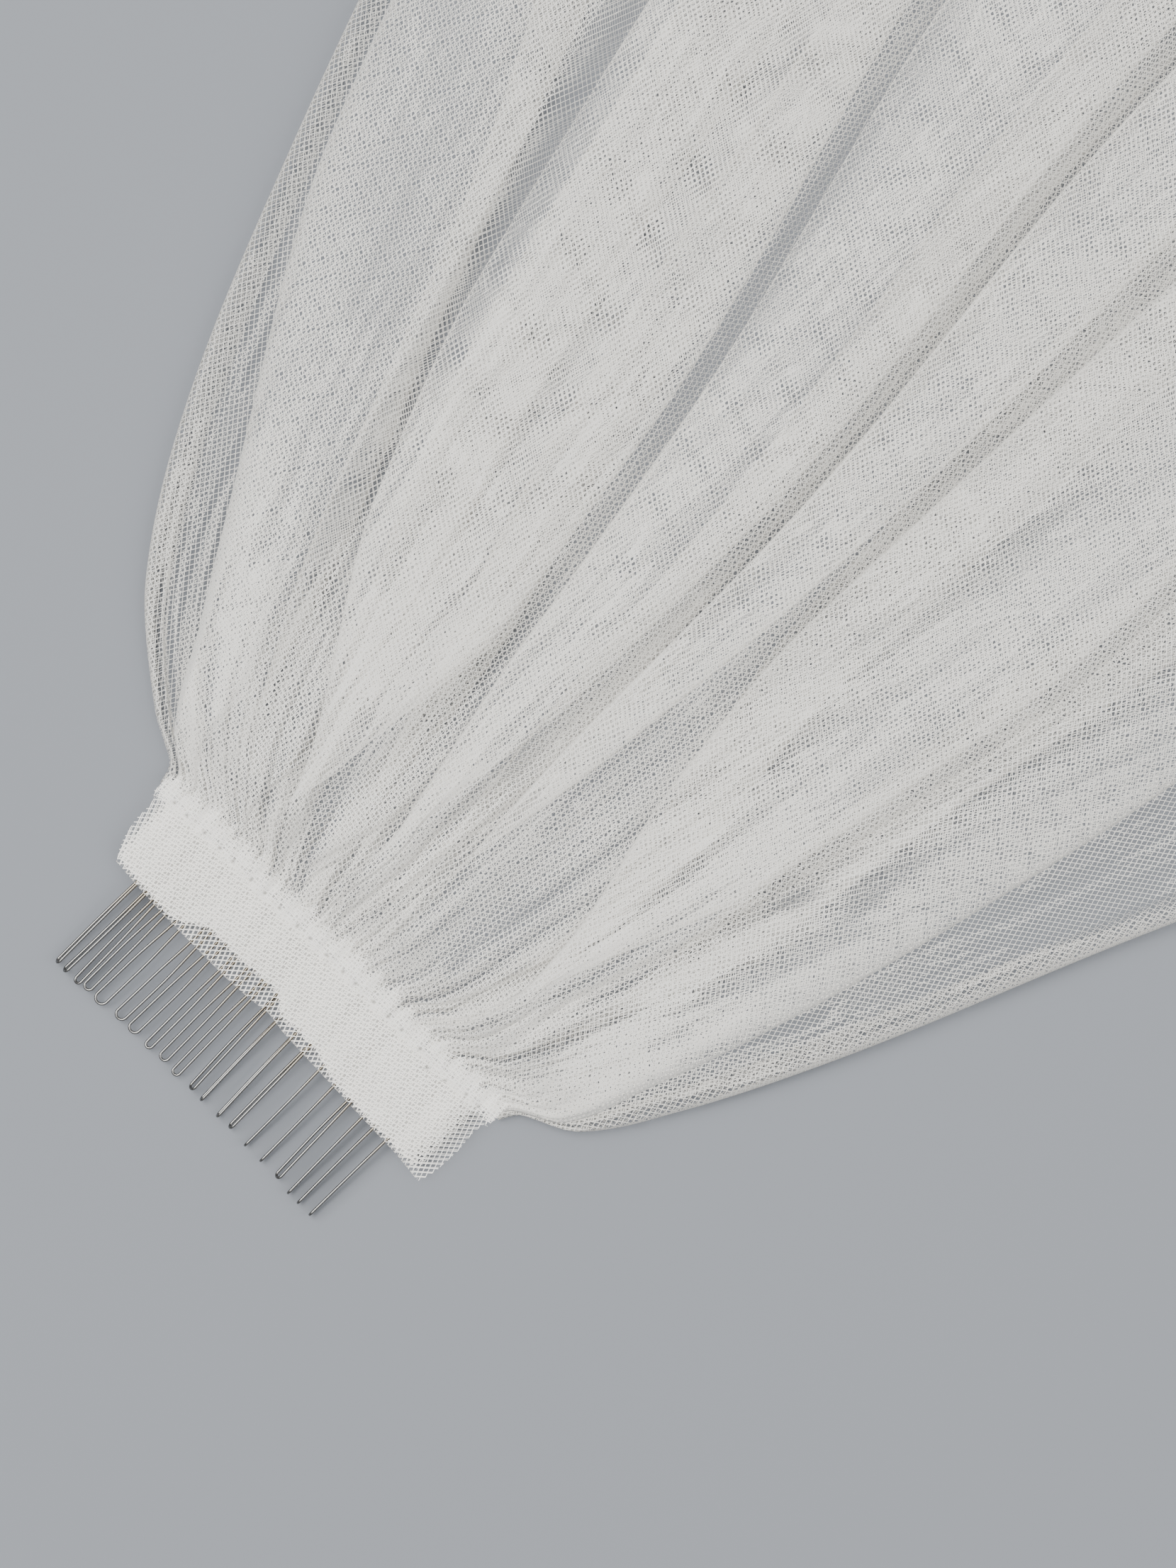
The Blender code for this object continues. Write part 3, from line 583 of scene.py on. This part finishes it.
def mean_direction(grid, axis):
    """The direction of a grid's lines at each point: the mean of the steps before and after, as units."""
    step = np.diff(grid, axis=axis)
    step = step / np.maximum(np.linalg.norm(step, axis=2, keepdims=True), 1e-9)
    first, last = np.take(step, [0], axis), np.take(step, [-1], axis)
    return np.concatenate((first, step), axis) + np.concatenate((step, last), axis)


def surface_normals(grid):
    normals = np.cross(mean_direction(grid, 1), mean_direction(grid, 0))
    return normals / np.maximum(np.linalg.norm(normals, axis=2, keepdims=True), 1e-9)


def tier_shape(folds, length, rows, under=None):
    """A tier's middle surface as a grid of points, the distances of its rows, and the columns' spans."""
    near = int(rows * 0.75)
    y = np.concatenate((300 * (np.arange(near) / near) ** 1.25, np.linspace(300, length, rows - near)))
    y = np.maximum(y, 0.3)
    flat, columns = sections(folds, y)
    x, z = flat[..., 0], flat[..., 1]
    left, right = half_widths(y)
    across = np.abs(x) / np.where(x < 0, left[:, None], right[:, None])
    bent = smooth_step((y - HEM_START) / (length - HEM_START))[:, None]
    corner = np.clip((across - 0.55) / 0.45, 0.0, 1.0)
    back = bent * (HEM_ARC * across ** 2 + HEM_CORNER * (1 - np.sqrt(1 - corner ** 2)))
    back_y = y[:, None] * (1 - back)
    if under is not None:
        blend = smooth_step((y - SEAM_DEPTH) / DRAPE_LENGTH)[:, None]
        draped = under(x, back_y) + WALL + TIER_GAP * (1 + y[:, None] / length)
        z = z - WALL / 2 + (1 - blend) * (1.5 * WALL + SEAM_RISE + SEAM_GAP) + blend * draped
    return np.stack((x, back_y, z), axis=2), y, columns


def creases(cloth, y, seed, height):
    """Small gathers that run out from the seam, as heights over the cloth.

    Each is a soft ridge in the cloth's own width that widens and fades with distance: height times
    exp(-(distance across / width) squared) times exp(-(y / length) squared). Odd ones are troughs."""
    pick = np.random.default_rng(seed)
    total = np.zeros((len(y), len(cloth)))
    places = np.linspace(6, cloth[-1] - 6, 96) + pick.uniform(-3, 3, 96)
    for number, centre in enumerate(places):
        reach = pick.choice((28, 45, 70, 120, 190), p=(0.3, 0.28, 0.2, 0.14, 0.08))
        wide = pick.uniform(1.6, 3.2)
        sign = 1 if number % 2 else -0.6
        ridge = np.exp(-((cloth - centre) / wide) ** 2)
        fade = np.exp(-(y / reach) ** 2) * smooth_step(y / 6)
        total += sign * height * pick.uniform(0.5, 1.0) * fade[:, None] * ridge[None]
    return total


def cloth_mesh(name, grid, nets, cloth, attributes, material):
    """A sheet from a grid of points in millimetres from the seam.

    nets is the net's coordinates at the left and the right corners of every column of faces, so that they
    may jump at a fold. cloth is the cloth's own coordinates at the points."""
    rows, columns = grid.shape[:2]
    index = np.arange(rows * columns).reshape(rows, columns)
    corners = np.stack((index[:-1, :-1], index[:-1, 1:], index[1:, 1:], index[1:, :-1]), axis=2)
    points = (grid - (0.0, ORIGIN_Y, 0.0)) * MM
    mesh = bpy.data.meshes.new(name)
    mesh.vertices.add(rows * columns)
    mesh.vertices.foreach_set("co", points.astype(np.float32).ravel())
    mesh.loops.add(corners.size)
    mesh.loops.foreach_set("vertex_index", corners.astype(np.int32).ravel())
    mesh.polygons.add(corners.size // 4)
    mesh.polygons.foreach_set("loop_start", np.arange(0, corners.size, 4, dtype=np.int32))
    left, right = nets
    net = np.stack((left[:-1], right[:-1], right[1:], left[1:]), axis=2)
    mesh.uv_layers.new(name="net").data.foreach_set("uv", net.astype(np.float32).ravel())
    lengthwise = cloth.reshape(-1, 2)[corners.ravel()]
    mesh.uv_layers.new(name="cloth").data.foreach_set("uv", lengthwise.astype(np.float32).ravel())
    for key, values in attributes.items():
        mesh.attributes.new(key, "FLOAT", "POINT").data.foreach_set("value", values.astype(np.float32).ravel())
    mesh.polygons.foreach_set("use_smooth", np.ones(corners.size // 4, bool))
    mesh.materials.append(material)
    mesh.update(calc_edges=True)
    mesh.validate()
    made = bpy.data.objects.new(name, mesh)
    bpy.context.scene.collection.objects.link(made)
    return made


def net_corners(grid, spans, seed, net_turn):
    """The net's coordinates at the corners of each column of faces.

    Each layer of a fold lies flat in its own direction: it is turned with its fold, by net_turn and a
    chance angle more, and mirrored where the cloth shows its back, so that no two nets lie alike."""
    pick = np.random.default_rng(seed)
    near, far = grid.shape[0] // 4, grid.shape[0] * 3 // 4
    left = np.zeros(grid[:, :-1].shape[:2] + (2,))
    right = np.zeros_like(left)
    for span in range(spans.max() + 1):
        chosen = spans == span
        heading = (grid[far, :-1, :2][chosen] - grid[near, :-1, :2][chosen]).mean(axis=0)
        turn = math.atan2(heading[0], heading[1]) + math.radians(net_turn + pick.uniform(-14, 14))
        offset = pick.uniform(0, 5, 2)
        flip = -1 if span % 2 else 1
        for side, out in ((grid[:, :-1], left), (grid[:, 1:], right)):
            x, y = side[:, chosen, 0], side[:, chosen, 1]
            out[:, chosen, 0] = flip * (x * math.cos(turn) - y * math.sin(turn)) * CELL[0] + offset[0]
            out[:, chosen, 1] = (x * math.sin(turn) + y * math.cos(turn)) * CELL[1] + offset[1]
    return left, right


def turned_edges(arc, spans):
    """Where a fold turns over: 1 on its edge, fading along the cloth's width on both sides.

    Along an edge the cloth is seen from its side, so many threads lie close together in a thin line."""
    place = np.concatenate((np.zeros_like(arc[:, :1]), arc), axis=1)
    edges = np.flatnonzero(np.diff(spans)) + 1
    distance = np.abs(place[:, :, None] - place[:, None, edges]).min(axis=2)
    return np.exp(-(distance / EDGE_WIDTH) ** 2)


def openness(x, y):
    """How open the cloth is: 1 where it is whole, less at the small open places between the gathers."""
    kept = np.ones_like(x)
    for spot in OPENINGS:
        angle = math.radians(spot.turn)
        across = ((x - spot.x) * math.cos(angle) + (y - spot.y) * math.sin(angle)) / spot.half_x
        along = ((y - spot.y) * math.cos(angle) - (x - spot.x) * math.sin(angle)) / spot.half_y
        kept *= 1 - spot.share * np.exp(-(across ** 2 + along ** 2) ** 1.5)
    return kept


def build_tier(name, node, folds, length, seed, net_turn, settings, material, under=None):
    """One tier: its folds from the tables, small creases, and how many threads lie over each other."""
    grid, y, spans = tier_shape(folds, length, settings.rows, under)
    wide = settings.cloth_width / MM
    arc = np.cumsum(np.linalg.norm(np.diff(grid, axis=1), axis=2), axis=1)
    reference = int(np.searchsorted(y, 70))
    cloth = np.concatenate(([0.0], arc[reference])) * wide / arc[reference, -1]
    base = grid.copy()
    grid = grid + surface_normals(grid) * creases(cloth, y, seed, settings.crease_height / MM)[..., None]
    grid[..., 2] = np.maximum(grid[..., 2], 0.15)
    upright = np.abs(surface_normals(grid)[..., 2])
    gathered = np.clip(wide / arc[:, -1], 1.0, 4.0)[:, None]
    density = np.clip(1.0 / np.maximum(upright, 0.12), 1.0, 7.0) * gathered ** 0.75
    density = np.maximum(density * openness(grid[..., 0], grid[..., 1]), LEAST_LAYERS)
    density = density * (1 + EDGE_EXTRA * turned_edges(arc, spans) * smooth_step(y / 60)[:, None])
    gather = np.broadcast_to(0.14 + 0.76 * np.exp(-y / 80.0)[:, None], density.shape)
    left, right = half_widths(y)
    share = grid[..., 0] / np.where(grid[..., 0] < 0, left[:, None], right[:, None])
    cloth_at = np.stack((share * 100 + seed * 0.4, np.broadcast_to(y[:, None], share.shape)), axis=2)
    made = cloth_mesh(name, grid, net_corners(grid, spans, seed, net_turn), cloth_at,
                      {"layers": density, "gather": gather}, material)
    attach(made, "root")
    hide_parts(node)
    return made, base


def wrap_edge(x):
    """How far the wrap's open edge reaches from the seam, slightly uneven."""
    return np.interp(x, [row.x for row in WRAP_EDGE], [row.reach for row in WRAP_EDGE])


def wrap_ends(share):
    """How far the wrap's two ends reach from the middle, less towards the open edge."""
    return (np.interp(share, [row.share for row in WRAP_ENDS], [row.left for row in WRAP_ENDS]),
            np.interp(share, [row.share for row in WRAP_ENDS], [row.right for row in WRAP_ENDS]))


def wrap_sheet(rows, columns, inset, reach_of, mouth, lap):
    """A strip folded round the comb's spine: along under it, round the open edge, back over it to the seam.

    share runs from 0 at the seam to 1 at the open edge, and inset is the strip's distance inside the
    wrap's outer side. The upper side is highest over the spine and sinks towards the teeth."""
    x = np.linspace(-1.0, 1.0, columns)
    turn = 7
    down = np.linspace(0.0, 1.0, (rows - turn) // 2)
    round_edge = np.linspace(-90, 90, turn + 2)[1:-1]
    share = np.concatenate((down, np.ones(turn), down[::-1]))
    side = np.concatenate((-np.ones(len(down)), np.sin(np.radians(round_edge)), np.ones(len(down))))
    bulge = np.concatenate((np.zeros(len(down)), np.cos(np.radians(round_edge)), np.zeros(len(down))))
    seam = 1 - np.sqrt(1 - np.clip(1 - share / 0.05, 0, 1) ** 2)
    low = inset + seam * (BAND_HEIGHT * 0.30 - inset)
    high = BAND_HEIGHT - inset - 0.2 * share - seam * (BAND_HEIGHT * 0.38)
    closing = smooth_step((share - 0.45) / 0.55)
    gap = mouth / 2 + 0.25 - 0.2 * inset
    middle = TOOTH_HEIGHT
    low = low + closing * (middle - gap - low) * 0.82
    high = high + closing * (middle + gap - high) * 0.82
    half = (high - low) / 2
    left, right = wrap_ends(share)
    scale = np.where(x[None] < 0, left[:, None], right[:, None]) - inset * lap
    px = x[None] * scale
    py = -share[:, None] * (reach_of(px) - inset * 0.8) - bulge[:, None] * 0.35
    pz = ((high + low) / 2 + side * half)[:, None] + 0 * px
    ends = smooth_step((np.abs(x) - 0.86) / 0.14)[None]
    pz = pz + ends * (1.9 - pz) * 0.45 * (pz > 1.9)
    return np.stack((px, py, pz), axis=2), share


def pinholes(x, y, pitch):
    """The needle's holes along the seam: 1 in the middle of each, in a row that dips a little at the right."""
    row = -0.35 - 1.9 * smooth_step((x - 27.0) / 4.0) * (1 - smooth_step((x - 34.0) / 4.0))
    number = np.round(x / pitch)
    centre = number * pitch + 0.5 * np.sin(number * 2.3)
    return np.exp(-((x - centre) / 0.34) ** 2 - ((y - row) / 0.30) ** 2)


def bay(x):
    """How far short of the open edge the inner layers end: a long shallow bay left of the middle."""
    return (0.4 + 4.1 * smooth_step((x + 29.0) / 9.0) * (1 - smooth_step((x + 3.0) / 7.0))
            + 1.7 * smooth_step((x - 1.0) / 5.0) * (1 - smooth_step((x - 12.0) / 8.0)))


def build_wrap(settings, material):
    """The wrap: a dense inner strip of folded layers, and the outer turn of net over it."""
    mouth = settings.mouth / MM
    made = []
    for name, inset, layers in (("wrap_inner_layers", 0.45, 7.5), ("wrap_outer_turn", 0.12, 1.5)):
        grid, share = wrap_sheet(76, 420, inset, wrap_edge, mouth, 1.0)
        x, y = grid[..., 0], grid[..., 1]
        pick = np.random.default_rng(5)
        ripple = 0.07 * np.sin(x * 0.9 + y * 0.5) + 0.05 * np.sin(x * 0.37 - y * 1.1 + 2.0)
        upper = grid[..., 2] > BAND_HEIGHT / 2
        hole = upper * pinholes(x, y, settings.stitch_pitch / MM)
        grid[..., 2] += upper * ripple - 0.4 * hole
        upright = np.abs(surface_normals(grid)[..., 2])
        density = layers * np.clip(1 / np.maximum(upright, 0.4), 1, 1.8)
        if name == "wrap_inner_layers":
            fray = pick.uniform(-0.35, 0.35, x.shape)
            short = wrap_edge(x) - bay(x) + y + fray
            density = density * smooth_step((short + 0.5) / 1.5)
            density = density * smooth_step((47.5 - x + fray) / 8.0) * smooth_step((x + 48.4 + fray) / 5.5)
        turned = np.stack(((x * 0.97 - y * 0.24) * CELL[0], (x * 0.24 + y * 0.97) * CELL[1]), axis=2)
        cloth_at = np.stack((x, y), axis=2)
        # The pinholes are sunk into the cloth, and the same mask darkens them with painted shade.
        piece = cloth_mesh(name, grid, (turned[:, :-1], turned[:, 1:]), cloth_at,
                           {"layers": density, "gather": np.full_like(density, -0.12), "painted_pinhole_shade": 0.8 * hole}, material)
        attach(piece, "root")
        made.append(piece)
    made[1].visible_shadow = False
    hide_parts("comb_wrap")
    return made


def build_heading(settings, material):
    """The gathered tulle's raw top edge, laid over the seam as a soft ruffle with a frayed edge."""
    x = np.linspace(-BAND_LENGTH / 2 - 0.9, BAND_LENGTH / 2 + 0.3, 460)
    share = np.linspace(0.0, 1.0, 26)[:, None]
    pick = np.random.default_rng(11)
    waves = (0.40 * np.sin(x * 0.47) + 0.30 * np.sin(x * 0.83 + 1.3) + 0.25 * np.sin(x * 1.9 + 0.4)
             + 0.5 * np.sin(x * 0.17 + 0.5))
    back = 5.7 + 0.9 * waves + pick.uniform(-0.12, 0.12, len(x))
    front = -2.6 + 0.25 * np.sin(x * 0.7)
    py = front + share * (back - front)
    ruffle = settings.ruffle / MM
    small = np.sin(x * 0.9 + 1.9 * np.sin(x * 0.31)) + 0.4 * np.sin(x * 1.9 + 2.0 * share)
    arch = np.sin(np.pi * np.clip(share * 1.35, 0, 1)) ** 0.8
    pz = BAND_HEIGHT - 0.1 + 0.9 * arch + ruffle * small * smooth_step(share / 0.5) * 0.6
    grid = np.stack((np.broadcast_to(x, py.shape), py, pz), axis=2)
    upright = np.abs(surface_normals(grid)[..., 2])
    uneven = 0.08 * np.sin(x * 1.3) + 0.05 * np.sin(x * 2.9 + 1.0) + 0.05 * np.sin(x * 5.3 + 2.0)
    fade = smooth_step(share / 0.35) * (1 - smooth_step((share - 0.45 - uneven) / 0.5))
    density = 6.5 * np.clip(1 / np.maximum(upright, 0.35), 1, 2.4) * fade
    cloth_at = np.stack((x * 1.6 + 0 * py, py * 6), axis=2)
    net = np.stack((grid[..., 0] * 0.9 - grid[..., 1] * 0.4, grid[..., 0] * 0.4 + grid[..., 1] * 0.9), axis=2)
    hole = pinholes(grid[..., 0], grid[..., 1], settings.stitch_pitch / MM)
    grid[..., 2] -= 0.4 * hole
    # The pinholes are sunk into the cloth, and the same mask darkens them with painted shade.
    made = cloth_mesh("heading_ruffle", grid, (net[:, :-1], net[:, 1:]), cloth_at,
                      {"layers": density, "gather": np.full_like(density, 0.15), "painted_pinhole_shade": 0.9 * hole}, material)
    made.visible_shadow = False
    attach(made, "root")
    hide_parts("gather_heading")
    return made


def tube_mesh(name, path, radius, sides, material):
    """A round tube along a path of points in millimetres, with rings square to it and flat ends."""
    path = np.asarray(path, float)
    tangent = np.gradient(path, axis=0)
    tangent /= np.linalg.norm(tangent, axis=1, keepdims=True)
    side = np.cross(tangent, (0.03, 0.02, 1.0))
    side /= np.linalg.norm(side, axis=1, keepdims=True)
    other = np.cross(tangent, side)
    angle = np.linspace(0, 2 * math.pi, sides, endpoint=False)
    ring = (np.cos(angle)[None, :, None] * side[:, None] + np.sin(angle)[None, :, None] * other[:, None]) * radius
    points = path[:, None] + ring
    rows = len(path)
    index = np.arange(rows * sides).reshape(rows, sides)
    after = np.roll(index, -1, axis=1)
    quads = np.stack((index[:-1], after[:-1], after[1:], index[1:]), axis=2).reshape(-1, 4)
    caps = [index[0].tolist(), index[-1][::-1].tolist()]
    mesh = bpy.data.meshes.new(name)
    placed = (points.reshape(-1, 3) - (0.0, ORIGIN_Y, 0.0)) * MM
    mesh.from_pydata(placed.tolist(), [], quads[:, ::-1].tolist() + caps)
    mesh.polygons.foreach_set("use_smooth", np.ones(len(mesh.polygons), bool))
    mesh.materials.append(material)
    mesh.update()
    made = bpy.data.objects.new(name, mesh)
    bpy.context.scene.collection.objects.link(made)
    return made


def tooth_path(tooth):
    """A hairpin as a smooth path: out along one leg, round the tip and back along the other."""
    spacing = max(LEG_SPACING, tooth.width)
    side = np.array([tooth.width / 2, 0.0, math.sqrt(spacing ** 2 - tooth.width ** 2) / 2])
    root_y = SPINE_Y - SPINE_RADIUS - SEAM_GAP - WIRE_RADIUS
    bend_y = tooth.tip_y + spacing / 2
    leg = np.linspace(root_y, bend_y, 26)
    turn = np.radians(np.linspace(0, 180, 15))[1:-1]
    y = np.concatenate((leg, bend_y - np.sin(turn) * spacing / 2, leg[::-1]))
    part = np.concatenate((-np.ones(26), -np.cos(turn), np.ones(26)))
    along = (y - root_y) / (tooth.tip_y - root_y)
    pinch = 1 - 0.35 * (1 - smooth_step((along - 0.3) / 0.4))
    drop = smooth_step((TOOTH_BEND_Y - y) / (TOOTH_BEND_Y - tooth.tip_y) * 0.5) * 2
    bow = 0.25 * np.sin(np.pi * along) * np.sin(tooth.root_x * 1.7)
    middle = np.stack((tooth.root_x + along * (tooth.tip_x - tooth.root_x) + bow, y,
                       TOOTH_HEIGHT + drop * (TIP_HEIGHT - TOOTH_HEIGHT)), axis=1)
    return middle + side * (part * pinch)[:, None]


def add_tiers(context):
    settings = context.scene.veil_tiers
    # The lower tier's thread is a greyer copy of the upper one's: painted shade for the upper tier's shadow, which the
    # upper tier does not cast.
    painted_shade_tulle, bright = (tulle_material(name, settings.net_pitch / MM, settings.cover, colour, 0.55)
                      for name, colour in (("Soft nylon tulle of the lower tier, in painted shade", "D9D6CF"),
                                           ("Soft nylon tulle of the upper tier", "EAE7E0")))
    lower, base = build_tier("lower_tier_net", "tier_lower", LOWER_FOLDS, LOWER_LENGTH, 3, 12, settings, painted_shade_tulle)
    upper, _ = build_tier("upper_tier_net", "tier_upper", UPPER_FOLDS, UPPER_LENGTH, 8, -11, settings, bright,
                          top_surface(base))
    upper.visible_shadow = False


def add_wrap(context):
    settings = context.scene.veil_wrap
    tiers = context.scene.veil_tiers
    # The wrap is the same tulle as the tiers, with a whiter thread: painted light for its many wound layers, which show
    # brighter.
    material = tulle_material("Tulle wound round the comb", tiers.net_pitch / MM, tiers.cover, "FCF9F2", 0.85)
    inner, outer = build_wrap(settings, material)
    build_heading(settings, material)


def add_comb(context):
    settings = context.scene.veil_comb
    material = wire_material("Polished silver wire", tuple(settings.wire_colour))
    for number, tooth in enumerate(TEETH, start=1):
        made = tube_mesh(f"tooth_wire_{number:02d}", tooth_path(tooth), WIRE_RADIUS, settings.wire_sides, material)
        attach(made, "root")
        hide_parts(f"tooth_{number:02d}")
    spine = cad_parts["comb_spine"]
    spine.data.materials.clear()
    spine.data.materials.append(material)


def add_stage(context):
    settings = context.scene.veil_stage
    bpy.ops.mesh.primitive_plane_add(size=40.0, location=(0.0, 0.0, -0.0003))
    floor = context.object
    floor.name = "floor"
    floor.data.materials.append(floor_material())
    world = bpy.data.worlds.new("Soft room light")
    context.scene.world = world
    world.use_nodes = True
    tree = world.node_tree
    height = add_node(tree, "ShaderNodeSeparateXYZ", {0: add_node(tree, "ShaderNodeTexCoord").outputs["Generated"]})
    glow = add_node(tree, "ShaderNodeMapRange",
                    {"Value": height.outputs[2], "From Min": 0.1, "From Max": 0.9, "To Min": 0.12, "To Max": 1.1},
                    interpolation_type="SMOOTHSTEP")
    tree.nodes["Background"].inputs["Color"].default_value = linear("F4F6F8")
    tree.links.new(glow.outputs[0], tree.nodes["Background"].inputs["Strength"])
    for name, place, size, power in (("Key softbox", (-1.1, -0.3, 2.1), 1.8, 75.0),
                                     ("Fill softbox", (1.7, 1.0, 1.8), 2.2, 28.0)):
        lamp = bpy.data.lights.new(name, "AREA")
        lamp.size = size
        lamp.energy = power
        made = bpy.data.objects.new(name, lamp)
        made.location = place
        direction = np.array((0.0, 0.1, 0.0)) - np.array(place)
        made.rotation_mode = "QUATERNION"
        made.rotation_quaternion = Vector(direction).to_track_quat("-Z", "Y")
        context.scene.collection.objects.link(made)
    lens = bpy.data.cameras.new("Photo camera")
    lens.lens = lens.sensor_width * settings.camera_height / settings.view_height
    camera = bpy.data.objects.new("Photo camera", lens)
    camera.location = (0.0133, 0.07225, settings.camera_height)
    camera.rotation_euler = (0.0, 0.0, settings.view_turn)
    context.scene.collection.objects.link(camera)
    context.scene.camera = camera
    context.scene.cycles.transparent_max_bounces = 40
    context.scene.cycles.max_bounces = 4
    context.scene.cycles.diffuse_bounces = 2


class VEIL_OT_add_tiers(bpy.types.Operator):
    """Builds the two gathered tiers of tulle."""

    bl_idname = "veil.add_tiers"
    bl_label = "Add the tiers"

    def execute(self, context):
        add_tiers(context)
        return {"FINISHED"}


class VEIL_OT_add_wrap(bpy.types.Operator):
    """Builds the wrap round the comb and the heading on its seam."""

    bl_idname = "veil.add_wrap"
    bl_label = "Add the wrap"

    def execute(self, context):
        add_wrap(context)
        return {"FINISHED"}


class VEIL_OT_add_comb(bpy.types.Operator):
    """Builds the comb's wire teeth and finishes its spine."""

    bl_idname = "veil.add_comb"
    bl_label = "Add the comb"

    def execute(self, context):
        add_comb(context)
        return {"FINISHED"}


class VEIL_OT_add_stage(bpy.types.Operator):
    """Adds the floor, the lights and the camera."""

    bl_idname = "veil.add_stage"
    bl_label = "Add the stage"

    def execute(self, context):
        add_stage(context)
        return {"FINISHED"}


OPERATORS = (VEIL_OT_add_tiers, VEIL_OT_add_wrap, VEIL_OT_add_comb, VEIL_OT_add_stage)
SETTINGS = {"veil_tiers": VeilTierSettings, "veil_wrap": VeilWrapSettings, "veil_comb": VeilCombSettings,
            "veil_stage": VeilStageSettings}


class VEIL_PT_panel(bpy.types.Panel):
    """The veil's settings and the buttons that build it."""

    bl_label = "Bridal Veil"
    bl_space_type = "VIEW_3D"
    bl_region_type = "UI"
    bl_category = "Veil"

    def draw(self, context):
        for (key, group), made in zip(SETTINGS.items(), OPERATORS):
            box = self.layout.box()
            for name in group.__annotations__:
                box.prop(getattr(context.scene, key), name)
            box.operator(made.bl_idname)


def register():
    for group in (*SETTINGS.values(), *OPERATORS, VEIL_PT_panel):
        bpy.utils.register_class(group)
    for key, group in SETTINGS.items():
        setattr(bpy.types.Scene, key, PointerProperty(type=group))


def unregister():
    for key in SETTINGS:
        delattr(bpy.types.Scene, key)
    for group in (VEIL_PT_panel, *reversed(OPERATORS), *reversed(SETTINGS.values())):
        bpy.utils.unregister_class(group)


def main():
    register()
    bpy.ops.veil.add_wrap()
    bpy.ops.veil.add_tiers()
    bpy.ops.veil.add_comb()
    bpy.ops.veil.add_stage()


if __name__ == "__main__":
    main()
